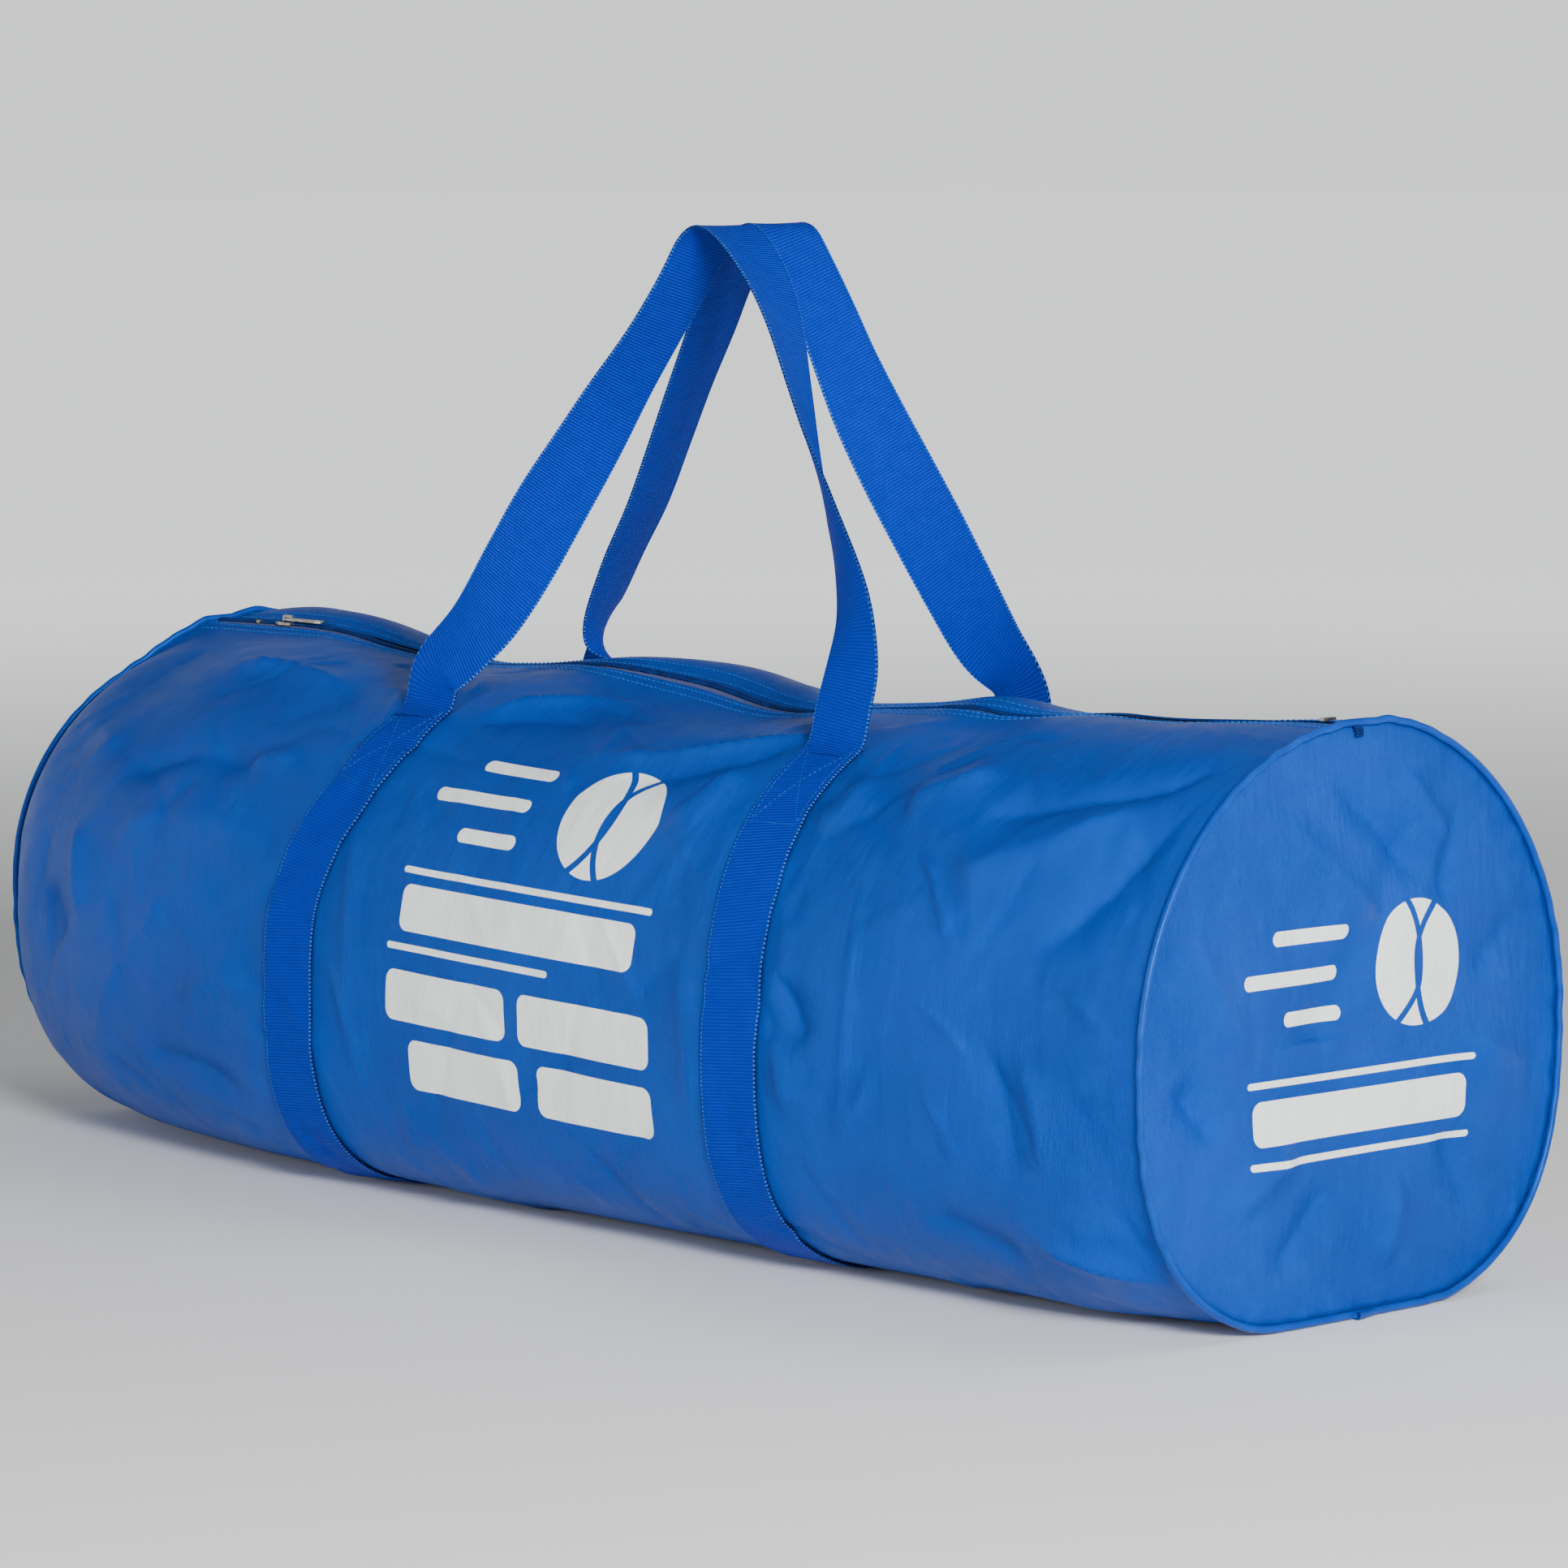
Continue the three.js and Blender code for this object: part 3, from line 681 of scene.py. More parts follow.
def webbing_material(name, dark=1.0):
    sh = Shader(name)
    vector, u, v = sh.uv()
    ribs = waves(sh, v, u, 0.0017, 0.12)
    fine = waves(sh, u, v, 0.0011, 0.5)
    weave = sh.math("MULTIPLY_ADD", fine, 0.5, ribs)
    mottle = sh.noise(vector, 90.0, 5.0, 0.6)
    base = rgb(0.0, 0.016 * dark, 0.27 * dark)
    light = rgb(0.0, 0.040 * dark, 0.48 * dark)
    colour = sh.mix(sh.ramp(weave, -1.4, 1.4), base, light)
    colour = sh.mix(sh.ramp(mottle, 0.35, 0.75, 0.0, 0.35), colour, base)
    # edge distance across the 40 mm, a shadow line, and the paler selvedge picks
    middle = sh.math("ABSOLUTE", sh.math("SUBTRACT", u, WEB_WIDTH / 2000))
    shadow = sh.math(
        "MULTIPLY", sh.ramp(middle, 0.0165, 0.0175), sh.ramp(middle, 0.0188, 0.0180)
    )
    colour = sh.mix(sh.math("MULTIPLY", shadow, 0.45), colour, rgb(0.004, 0.035, 0.26))
    dots = sh.ramp(waves(sh, v, u, 0.0022, 0.0), -0.2, 0.7)
    picks = sh.math("MULTIPLY", sh.ramp(middle, 0.0188, 0.0194), dots)
    colour = sh.mix(sh.math("MULTIPLY", picks, 0.55), colour, rgb(0.10, 0.30, 0.80))
    edge = sh.math("MULTIPLY_ADD", picks, 1.5, weave)
    bump = sh.bump(edge, 0.7, 0.00035)
    return sh.finish(
        Base_Color=colour,
        Roughness=sh.ramp(weave, -1.4, 1.4, 0.62, 0.50),
        Normal=bump,
        Specular_IOR_Level=0.14,
        Specular_Tint=rgb(0.4, 0.65, 1.0),
        Sheen_Weight=0.02,
        Sheen_Roughness=0.45,
        Sheen_Tint=rgb(0.1, 0.35, 1.0),
    )


def plastic_material(name, dark, light, roughness, scale=120.0):
    sh = Shader(name)
    vector = sh.node("ShaderNodeTexCoord").outputs["Object"]
    speckle = sh.noise(vector, scale, 4.0, 0.6)
    wear = sh.noise(vector, scale * 5, 3.0, 0.6)
    return sh.finish(
        Base_Color=sh.mix(sh.ramp(speckle, 0.3, 0.7), dark, light),
        Roughness=sh.ramp(wear, 0.3, 0.8, roughness, roughness + 0.14),
        Normal=sh.bump(wear, 0.2, 0.0002),
        Specular_IOR_Level=0.3,
        Specular_Tint=rgb(0.35, 0.65, 1.0),
    )


def tape_material(name):
    sh = Shader(name)
    vector = sh.node("ShaderNodeTexCoord").outputs["Object"]
    split = sh.node("ShaderNodeSeparateXYZ", {0: vector})
    weave = waves(sh, split.outputs[0], split.outputs[1], 0.0009, 0.7)
    wear = sh.noise(vector, 250.0, 4.0, 0.6)
    colour = sh.mix(sh.ramp(weave, -1, 1), rgb(0.0, 0.012, 0.11), rgb(0.002, 0.03, 0.24))
    return sh.finish(
        Base_Color=sh.mix(sh.ramp(wear, 0.5, 0.8, 0.0, 0.4), colour, rgb(0.01, 0.05, 0.28)),
        Roughness=0.75,
        Normal=sh.bump(weave, 0.5, 0.0002),
        Sheen_Weight=0.2,
    )


def metal_material(name):
    sh = Shader(name)
    vector = sh.node("ShaderNodeTexCoord").outputs["Object"]
    tarnish = sh.noise(vector, 260.0, 5.0, 0.6)
    scratches = sh.noise(sh.stretch(vector, (300, 2400, 900)), 1.0, 3.0)
    warm = sh.mix(sh.ramp(tarnish, 0.35, 0.7), rgb(0.30, 0.26, 0.20), rgb(0.62, 0.58, 0.50))
    return sh.finish(
        Base_Color=warm,
        Metallic=1.0,
        Roughness=sh.ramp(scratches, 0.3, 0.7, 0.22, 0.42),
        Normal=sh.bump(tarnish, 0.25, 0.0003),
    )


FRONT_PRINT_BARS = [
    (0.003, 0.046, 0.098, 0.0018),
    (0.000, 0.066, 0.092, 0.0125),
    (-0.035, 0.087, 0.065, 0.0018),
    (-0.052, 0.113, 0.048, 0.0135),
    (0.057, 0.113, 0.050, 0.0135),
    (-0.038, 0.149, 0.044, 0.0135),
    (0.064, 0.149, 0.044, 0.0135),
]
DISC_PRINT_BARS = [
    (0.0, 0.050, 0.080, 0.0017),
    (0.0, 0.069, 0.076, 0.0110),
    (0.0, 0.089, 0.080, 0.0017),
]
cloth_plain = cloth_material("nylon_plain")
cloth_front = cloth_material(
    "nylon_front", lambda sh, u, v: emblem(sh, u, v, 0.006, 0.147, 0.118, FRONT_PRINT_BARS)
)
cloth_disc = cloth_material(
    "nylon_disc",
    lambda sh, u, v: emblem(
        sh, u, sh.math("MULTIPLY", v, -1.0), 0.002, -0.172, 0.104, DISC_PRINT_BARS
    ),
)
webbing = webbing_material("webbing")
thread_pale = plastic_material("thread_pale", rgb(0.0, 0.08, 0.42), rgb(0.01, 0.14, 0.55), 0.6)
thread_dark = plastic_material("thread_dark", rgb(0.005, 0.04, 0.26), rgb(0.01, 0.07, 0.38), 0.6)
piping_blue = plastic_material(
    "piping_pvc", rgb(0.0, 0.036, 0.26), rgb(0.0, 0.050, 0.33), 0.34, 60.0
)
tape_navy = tape_material("zip_tape_navy")
coil_navy = plastic_material("coil_nylon", rgb(0.0, 0.006, 0.06), rgb(0.0, 0.014, 0.13), 0.38)
metal = metal_material("nickel_worn")


# ------------------------------------------------------------------ where the mouth opens
def body_zone(s_from, s_to):
    """left shell, left stretch, flap, right stretch, right shell."""
    return [
        ("left_shell", -LEFT_LENGTH, -SHELL_START),
        ("left_fold", -SHELL_START, -FLAP_END),
        ("flap", -FLAP_END, FLAP_END),
        ("right_fold", FLAP_END, SHELL_START),
        ("right_shell", SHELL_START, RIGHT_LENGTH),
    ]


def ride_zone(obj, side, zone):
    """A piece beside the zip follows the shell, the flap, or the cloth between them."""
    if "shell" in zone:
        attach(obj, "root")
    elif zone == "flap":
        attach(obj, f"{side}_mouth")
    else:
        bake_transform(obj)


def row_at(s):
    return int(round((s - STATIONS[0]) / STEP))


FLAP_ROWS = (row_at(-FLAP_END), row_at(FLAP_END))
SHELL_ROWS = (row_at(-SHELL_START), row_at(SHELL_START))
FOLD_COLUMN = UPPER + 2


def cloth_piece(name, side, rows, columns, material):
    half = halves[side]
    part = (slice(rows[0], rows[1] + 1), slice(columns[0], columns[1] + 1))
    uv = np.stack([np.broadcast_to(STATIONS[:, None], half["w"].shape), half["w"]], -1)
    flip = side == "rear"
    return solid_sheet(
        name, half["points"][part], half["normals"][part], CLOTH, material, uv[part], flip
    )


LAST_COLUMN = UPPER + LOWER
HINGES = {j["name"]: j for j in frame["joints"]}
for side in SIDES:
    material = cloth_front if side == "front" else cloth_plain
    strips = [
        ("left_end", (0, SHELL_ROWS[0]), (0, LAST_COLUMN)),
        ("left_below", (SHELL_ROWS[0], FLAP_ROWS[0]), (UPPER, LAST_COLUMN)),
        ("below", FLAP_ROWS, (FOLD_COLUMN, LAST_COLUMN)),
        ("right_below", (FLAP_ROWS[1], SHELL_ROWS[1]), (UPPER, LAST_COLUMN)),
        ("right_end", (SHELL_ROWS[1], ROWS - 1), (0, LAST_COLUMN)),
    ]
    for place_name, rows, columns in strips:
        piece = cloth_piece(f"{side}_cloth_{place_name}", side, rows, columns, material)
        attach(piece, "root")
        if place_name == "below":
            if side == "front":
                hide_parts("main_panel")
    flap = cloth_piece(f"{side}_cloth_flap", side, FLAP_ROWS, (0, FOLD_COLUMN), material)
    low = float(halves[side]["points"][ROWS // 2, FOLD_COLUMN, 2])
    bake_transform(flap)
    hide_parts(f"{side}_mouth_panel")
    for zone, rows in (
        ("left_fold", (SHELL_ROWS[0], FLAP_ROWS[0])),
        ("right_fold", (FLAP_ROWS[1], SHELL_ROWS[1])),
    ):
        piece = cloth_piece(f"{side}_cloth_{zone}", side, rows, (0, UPPER), material)
        ride_zone(piece, side, zone)


# Narrow strips of cloth sewn under the corners of the mouth, where the folds meet the shell.
GUSSET_ROWS = 12
for side in SIDES:
    half = halves[side]
    for name, edge in (("left", FLAP_ROWS[0]), ("right", FLAP_ROWS[1])):
        far = SHELL_ROWS[0] if name == "left" else SHELL_ROWS[1]
        rows = (min(edge, far) - GUSSET_ROWS, max(edge, far) + GUSSET_ROWS)
        part = (slice(rows[0], rows[1] + 1), slice(UPPER - 9, UPPER + 6))
        uv = np.stack([np.broadcast_to(STATIONS[:, None], half["w"].shape), half["w"]], -1)
        under = half["points"][part] - half["normals"][part] * (CLOTH + 0.5)
        gusset = solid_sheet(
            f"{side}_{name}_mouth_gusset",
            under,
            half["normals"][part],
            0.6,
            cloth_plain,
            uv[part],
            side == "rear",
        )
        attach(gusset, "root")


# ------------------------------------------------------------------ round ends and piping
def seam_outline(row):
    """The end seam as a closed loop from the top over the front, and its normals."""
    front = halves["front"]
    rear = halves["rear"]
    points = np.concatenate([front["points"][row], rear["points"][row][-2::-1]])
    normals = np.concatenate([front["normals"][row], rear["normals"][row][-2::-1]])
    return points, normals


def even_loop(points, count):
    """The closed loop again, at equal steps."""
    closed = np.concatenate([points, points[:1]])
    run = np.concatenate([[0], np.cumsum(np.linalg.norm(np.diff(closed, axis=0), axis=1))])
    places = np.linspace(0, run[-1], count, endpoint=False)
    return np.stack([np.interp(places, run, closed[:, k]) for k in range(3)], -1)


# Folds in the round ends: from (y, z) to (y, z), height, half width.
DISC_FOLDS = {
    "right": [
        ((-60, 250), (20, 190), 2.6, 9),
        ((-20, 268), (60, 205), -2.8, 9),
        ((30, 268), (70, 225), 2.6, 8),
        ((75, 250), (60, 195), -2.4, 9),
        ((-120, 200), (-80, 130), 2.2, 12),
        ((-125, 130), (-95, 95), -2.6, 9),
        ((-95, 60), (-40, 90), 2.4, 9),
        ((-60, 25), (-20, 70), -2.0, 9),
        ((20, 20), (30, 70), 2.0, 10),
        ((90, 40), (60, 90), -2.2, 11),
        ((130, 110), (80, 130), 2.2, 12),
        ((120, 190), (80, 160), -1.8, 10),
    ],
    "left": [
        ((-60, 250), (20, 180), 2.6, 10),
        ((60, 240), (20, 150), -2.6, 11),
        ((-120, 120), (-40, 90), 2.4, 11),
        ((100, 60), (40, 110), 2.4, 11),
    ],
}
END_ROWS = {"left": 0, "right": ROWS - 1}
RINGS = 34
AROUND = 240


def end_out(end):
    turn = float(centre_line(np.asarray(-LEFT_LENGTH))[2])
    return np.array([-math.cos(turn), math.sin(turn), 0]) if end == "left" else np.array([1.0, 0, 0])


def end_panel(end, material):
    outline, _ = seam_outline(END_ROWS[end])
    outline = even_loop(outline, AROUND)
    middle = (outline.max(0) + outline.min(0)) / 2
    out = end_out(end)
    aside = np.array([out[1], -out[0], 0]) * (-1 if end == "right" else 1)
    grid = []
    for k in range(RINGS + 1):
        share = k / RINGS
        ring = middle + (outline - middle) * (1 - share) ** 0.9
        grid.append(ring)
    grid = np.array(grid)
    flat = np.stack([(grid - middle) @ aside, grid[..., 2]], -1)
    y, z = flat[..., 0], flat[..., 1]
    rim = np.linspace(0, 1, RINGS + 1)[:, None]
    angle = np.arctan2(z - middle[2], y)
    puff = 3.0 * smooth(rim * 2.2)
    puff = puff + 2.4 * np.exp(-(((y + 60) * 0.6 + (z - 235) * 0.8) / 13) ** 2) * smooth(rim * 4)
    puff = puff - 2.6 * np.exp(-(((y - 40) * 0.75 - (z - 235) * 0.6) / 12) ** 2) * smooth(rim * 4) * (z > 140)
    puff = puff - 1.8 * np.exp(-(((y + 20) * 0.3 + (z - 95)) / 20) ** 2) * smooth(rim * 3)
    puff = puff + 1.2 * np.exp(-(((y - 95) - (z - 120) * 0.2) / 16) ** 2) * smooth(rim * 3)
    gathers = np.sin(angle * 55) + 0.8 * np.sin(angle * 34 + 1)
    puff = puff + 0.35 * gathers * np.exp(-rim * 16) * (0.4 + 0.6 * (np.sin(angle * 3 + 1) > -0.2))
    for (y0, z0), (y1, z1), height, width in DISC_FOLDS[end]:
        run = math.hypot(y1 - y0, z1 - z0)
        t = ((y - y0) * (y1 - y0) + (z - z0) * (z1 - z0)) / run**2
        d = ((y - y0) * (z1 - z0) - (z - z0) * (y1 - y0)) / run
        window = smooth(t * 3 + 0.1) * smooth((1 - t) * 3 + 0.1)
        crease = DISC_GAIN * height * np.exp(-np.abs(d / width) ** 1.4)
        puff = puff + crease * window * smooth(rim * 5)
    grid = grid + out * puff[..., None]
    around = np.concatenate([grid, grid[:, :1]], 1)
    coords = np.concatenate([flat, flat[:, :1]], 1)
    normals = np.cross(np.gradient(around, axis=0), np.gradient(around, axis=1))
    normals[-1] = normals[-2].mean(0)
    normals /= np.linalg.norm(normals, axis=-1, keepdims=True) + 1e-9
    inward = np.mean(normals[4] @ out) < 0
    if inward:
        normals = -normals
    mean = (normals[:, 0] + normals[:, -1]) / 2
    normals[:, 0] = normals[:, -1] = mean
    rows, columns = around.shape[:2]
    return new_object(
        f"{end}_end_cloth",
        around.reshape(-1, 3),
        sheet_faces(rows, columns, 0, not inward),
        material,
        coords.reshape(-1, 2),
        normals.reshape(-1, 3),
    )


def tidy_disc(obj):
    """Joins the seam and the middle of a round end and gives it a thickness."""
    mesh = bmesh.new()
    mesh.from_mesh(obj.data)
    bmesh.ops.remove_doubles(mesh, verts=mesh.verts, dist=1e-5)
    mesh.to_mesh(obj.data)
    mesh.free()
    modifier = obj.modifiers.new("thickness", "SOLIDIFY")
    modifier.thickness = CLOTH / 1000
    modifier.offset = -1
    return obj


for end in ("left", "right"):
    disc = end_panel(end, cloth_disc if end == "right" else cloth_plain)
    tidy_disc(disc)
    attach(disc, "root")
    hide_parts(f"{end}_end_panel")


def frames_along(path):
    """Tangents of a path of points."""
    t = np.gradient(path, axis=0)
    return t / np.linalg.norm(t, axis=1, keepdims=True)


def tube(name, path, radius, material, reference, sides=12, swell=None):
    """A round cord along a path, closed at its ends."""
    t = frames_along(path)
    a = np.cross(t, reference)
    a /= np.linalg.norm(a, axis=1, keepdims=True)
    b = np.cross(t, a)
    angles = np.linspace(0, 2 * math.pi, sides, endpoint=False)
    size = radius * (1 if swell is None else swell[:, None, None])
    ring = np.cos(angles)[None, :, None] * a[:, None] + np.sin(angles)[None, :, None] * b[:, None]
    points = (path[:, None] + size * ring).reshape(-1, 3)
    faces = []
    count = len(path)
    for i in range(count - 1):
        for j in range(sides):
            k = (j + 1) % sides
            faces.append((i * sides + j, i * sides + k, (i + 1) * sides + k, (i + 1) * sides + j))
    faces.append(tuple(range(sides)))
    faces.append(tuple((count - 1) * sides + j for j in range(sides))[::-1])
    along = np.concatenate([[0], np.cumsum(np.linalg.norm(np.diff(path, axis=0), axis=1))])
    uv = np.stack([np.repeat(along, sides), np.tile(angles * radius, count)], -1)
    return new_object(name, points, faces, material, uv)


PIPE_RADIUS = 1.9
for end in ("left", "right"):
    points, normals = seam_outline(END_ROWS[end])
    out = end_out(end)
    loop = points + normals * (PIPE_RADIUS * 0.55) + out * 1.2
    loop = even_loop(loop, 420)
    low = int(np.argmin(np.abs(np.arange(420) - 205)))
    # one length whose ends overlap side by side underneath
    order = np.arange(low, low + 420 + 9) % 420
    path = loop[order].copy()
    tail = np.linspace(0, 1, 10)[:, None]
    path[:10] += out * 3.6 * smooth(1 - tail) + np.array([0, 0, 0.0])
    path[:, 2] = np.maximum(path[:, 2], PIPE_RADIUS + 0.4)
    cord = tube(f"{end}_piping_cord", path, PIPE_RADIUS, piping_blue, out[None], 14)
    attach(cord, "root")
    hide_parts(f"{end}_piping")
    # the binding tape over the raw edges inside
    row_in = [1, 4] if end == "left" else [ROWS - 5, ROWS - 2]
    strips = []
    for k in (row_in[0], (row_in[0] + row_in[1]) // 2, row_in[1]):
        inner, n = seam_outline(k)
        strips.append(inner - n * 1.6)
    strips = np.array(strips)
    uv = np.stack(np.meshgrid([0, 5, 10], np.arange(strips.shape[1]) * 4.0, indexing="ij"), -1)
    _, n = seam_outline(row_in[0])
    binding = solid_sheet(
        f"{end}_binding_tape", strips, np.broadcast_to(n, strips.shape), 0.8, tape_navy, uv
    )
    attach(binding, "root")
    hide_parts(f"{end}_seam_binding")


# ------------------------------------------------------------------ stitches
def stitches(name, starts, ends, ups, radius, material):
    """Short raised stitches, each from a start to an end point."""
    starts, ends, ups = (np.asarray(a, float) for a in (starts, ends, ups))
    sides = 6
    angles = np.linspace(0, 2 * math.pi, sides, endpoint=False)
    t = ends - starts
    t /= np.linalg.norm(t, axis=1, keepdims=True)
    across = np.cross(t, ups)
    across /= np.linalg.norm(across, axis=1, keepdims=True)
    up = np.cross(across, t)
    rings = [(0.0, 0.45, -0.35), (0.15, 0.9, 0.0), (0.5, 1.0, 0.30), (0.85, 0.9, 0.0), (1.0, 0.45, -0.35)]
    points = []
    for share, size, lift in rings:
        centre = starts + (ends - starts) * share + up * (lift * radius)
        ring = (
            centre[:, None]
            + radius * size * np.cos(angles)[None, :, None] * across[:, None]
            + radius * size * np.sin(angles)[None, :, None] * up[:, None]
        )
        points.append(ring)
    points = np.stack(points, 1)
    faces = []
    count = len(rings) * sides
    for n in range(len(starts)):
        base = n * count
        for i in range(len(rings) - 1):
            for j in range(sides):
                k = (j + 1) % sides
                faces.append(
                    (base + i * sides + j, base + i * sides + k,
                     base + (i + 1) * sides + k, base + (i + 1) * sides + j)
                )
        faces.append(tuple(base + j for j in range(sides))[::-1])
        faces.append(tuple(base + count - sides + j for j in range(sides)))
    return new_object(name, points.reshape(-1, 3), faces, material)


# ------------------------------------------------------------------ zip
TOOTH_PITCH = 1.55
STITCH_PITCH = 3.9
STITCH_LENGTH = 2.7
for side in SIDES:
    shift = 0 if side == "front" else TOOTH_PITCH / 2
    for zone, start, end in body_zone(0, 0):
        low = max(start, -LEFT_LENGTH + 3)
        high = min(end, RIGHT_LENGTH - 3)
        s = np.arange(low, high + 2.01, 4.0)
        s[-1] = high
        w = np.array([-7.0, -4.0, -1.0, 2.0, 8.0])
        points, n = sample(side, s[:, None], w[None], -2.0)
        uv = np.stack(np.broadcast_arrays(s[:, None], w[None]), -1)
        tape = solid_sheet(
            f"{side}_tape_{zone}", points, n, 0.7, tape_navy, uv, side == "rear"
        )
        ride_zone(tape, side, zone)
        centres = np.arange(low + shift, high, TOOTH_PITCH)
        inner, n = sample(side, centres, -SLOT_HALF - 0.3, -1.2)
        outer, _ = sample(side, centres, -SLOT_HALF + 3.1, -1.2)
        coil = stitches(f"{side}_coil_{zone}", inner, outer, n, 0.78, coil_navy)
        ride_zone(coil, side, zone)
        firsts = []
        lasts = []
        ups = []
        for w0 in (2.4, 7.6):
            heads = np.arange(low + 2, high - 3, STITCH_PITCH)
            p, n = sample(side, heads, w0, 0.12)
            q, _ = sample(side, heads + STITCH_LENGTH, w0, 0.12)
            firsts.append(p)
            lasts.append(q)
            ups.append(n)
        thread = stitches(
            f"{side}_zip_stitches_{zone}",
            np.concatenate(firsts),
            np.concatenate(lasts),
            np.concatenate(ups),
            0.34,
            thread_pale,
        )
        ride_zone(thread, side, zone)
        part = {"left_shell": "left", "flap": "mouth", "right_shell": "right"}.get(zone)
        if part:
            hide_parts(f"{side}_zip_tape_{part}")
            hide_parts(f"{side}_zip_coil_{part}")


# The zip runs on over the right seam and is tucked in under the piping.
for side in SIDES:
    shift = 0 if side == "front" else TOOTH_PITCH / 2
    start, n = sample(side, RIGHT_LENGTH - 2.0, -SLOT_HALF + 1.2, -0.6)
    outward = np.array([1.0, 0, 0])
    bends = np.linspace(0, 1.75, 8)
    arc = [
        start + outward * (5.2 * math.sin(b)) + np.array([0, 0, 5.2 * (math.cos(b) - 1) + 1.6 * math.sin(b)])
        for b in bends
    ]
    arc = np.array(arc)
    inner = arc + np.array([0, 1.8 if side == "front" else -1.8, 0])
    outer = arc - np.array([0, 1.6 if side == "front" else -1.6, 0])
    ups = np.stack([outward * math.sin(b) + np.array([0, 0, math.cos(b)]) for b in bends])
    coil = stitches(f"{side}_coil_end", inner, outer, ups, 0.85, coil_navy)
    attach(coil, "root")


# ------------------------------------------------------------------ webbing
CROSS = np.array([-20, -19.75, -19.2, -18, -12, -6, 0, 6, 12, 18, 19.2, 19.75, 20.0])
HANDLE_CUP = 0.6
CROSS_THICK = np.array([0.25, 0.75, 1.0, 0.85, 1, 1, 1, 1, 1, 0.85, 1.0, 0.75, 0.25])


def ribbon_shape(middles, across):
    """Webbing along a whole path: its two faces, their normals and the distance along it."""
    t = frames_along(middles)
    across = across - t * np.sum(across * t, 1, keepdims=True)
    across = across / np.linalg.norm(across, axis=1, keepdims=True)
    up = np.cross(across, t)
    bend = HANDLE_CUP * (1 - (CROSS / 20) ** 2)
    base = (
        middles[:, None]
        + across[:, None] * CROSS[None, :, None]
        + up[:, None] * bend[None, :, None]
    )
    offset = up[:, None] * (CROSS_THICK * WEB_THICKNESS / 2)[None, :, None]
    run = np.concatenate([[0], np.cumsum(np.linalg.norm(np.diff(middles, axis=0), axis=1))])
    normals = normals_of(base)
    normals *= np.sign(np.sum(normals * up[:, None], -1, keepdims=True))
    return base + offset, base - offset, normals, run


def ribbon(name, shape, part, material):
    """The stretch of webbing that "part" picks out of a whole ribbon_shape."""
    top, low, normals, run = (value[part] for value in shape)
    uv = np.stack(np.broadcast_arrays((CROSS + 20)[None], run[:, None]), -1)
    return two_faced(name, top, low, normals, material, uv, False)


def band_path(side, end):
    """The band's middle line in (s, w), from the anchor down to the underside."""
    s = ANCHOR_X[(side, end)]
    places = np.arange(0, 330, 0.5)
    y = sample(side, np.full_like(places, s), places)[0][:, 1]
    goal = -ANCHOR_Y if side == "front" else ANCHOR_Y
    anchor_w = float(places[np.argmin(np.abs(y - goal))])
    half = halves[side]
    row = row_at(BAND_X[end])
    total = half["upper"][row] + half["lower"][row]
    w = np.linspace(anchor_w, total, 190)
    z = sample(side, np.full_like(w, BAND_X[end]), w)[0][:, 2]
    lean = smooth((z - 150) / 110)
    s_line = mix(BAND_X[end], s, lean)
    return s_line, w


def laid_ribbon(name, side, s_line, w_line, material, lift):
    """Webbing that lies on the cloth along a line in (s, w)."""
    ds = np.gradient(s_line)
    dw = np.gradient(w_line)
    size = np.hypot(ds, dw)
    across_s, across_w = dw / size, -ds / size
    grid_s = s_line[:, None] + across_s[:, None] * CROSS[None]
    grid_w = w_line[:, None] + across_w[:, None] * CROSS[None]
    half = halves[side]
    total = (half["upper"] + half["lower"])[row_at(float(s_line.mean()))]
    over = grid_w > total
    grid_w = np.minimum(grid_w, total)
    base, n = sample(side, grid_s, grid_w, lift)
    thick = (CROSS_THICK * WEB_THICKNESS)[None, :, None]
    low = base + n * (WEB_THICKNESS - thick) / 2
    top = low + n * thick
    run = np.concatenate([[0], np.cumsum(np.hypot(np.diff(s_line), np.diff(w_line)))])
    uv = np.stack(np.broadcast_arrays((CROSS + 20)[None], run[:, None]), -1)
    return two_faced(name, top, low, n, material, uv, side == "front")


def box_stitch_lines(s_line, w_line, length):
    """The stitched box and cross at an anchor, as lines in (s, w)."""
    run = np.concatenate([[0], np.cumsum(np.hypot(np.diff(s_line), np.diff(w_line)))])

    def at(along, aside):
        s = np.interp(along, run, s_line)
        w = np.interp(along, run, w_line)
        ds = np.interp(along + 1, run, s_line) - s
        dw = np.interp(along + 1, run, w_line) - w
        size = np.hypot(ds, dw)
        return s + aside * dw / size, w - aside * ds / size

    low, high, wide = 3.0, length, 16.5
    middle = (low + high) / 2
    corners = [
        ((low, -wide), (low + 2, wide)),
        ((high, -wide), (high, wide)),
        ((low, -wide), (high, -wide)),
        ((low, wide), (high, wide)),
        ((low + 2, -wide), (high, wide)),
        ((low + 2, wide), (high, -wide)),
        ((low + 3, -wide + 3), (low + 5, wide - 3)),
    ]
    return at, corners, middle


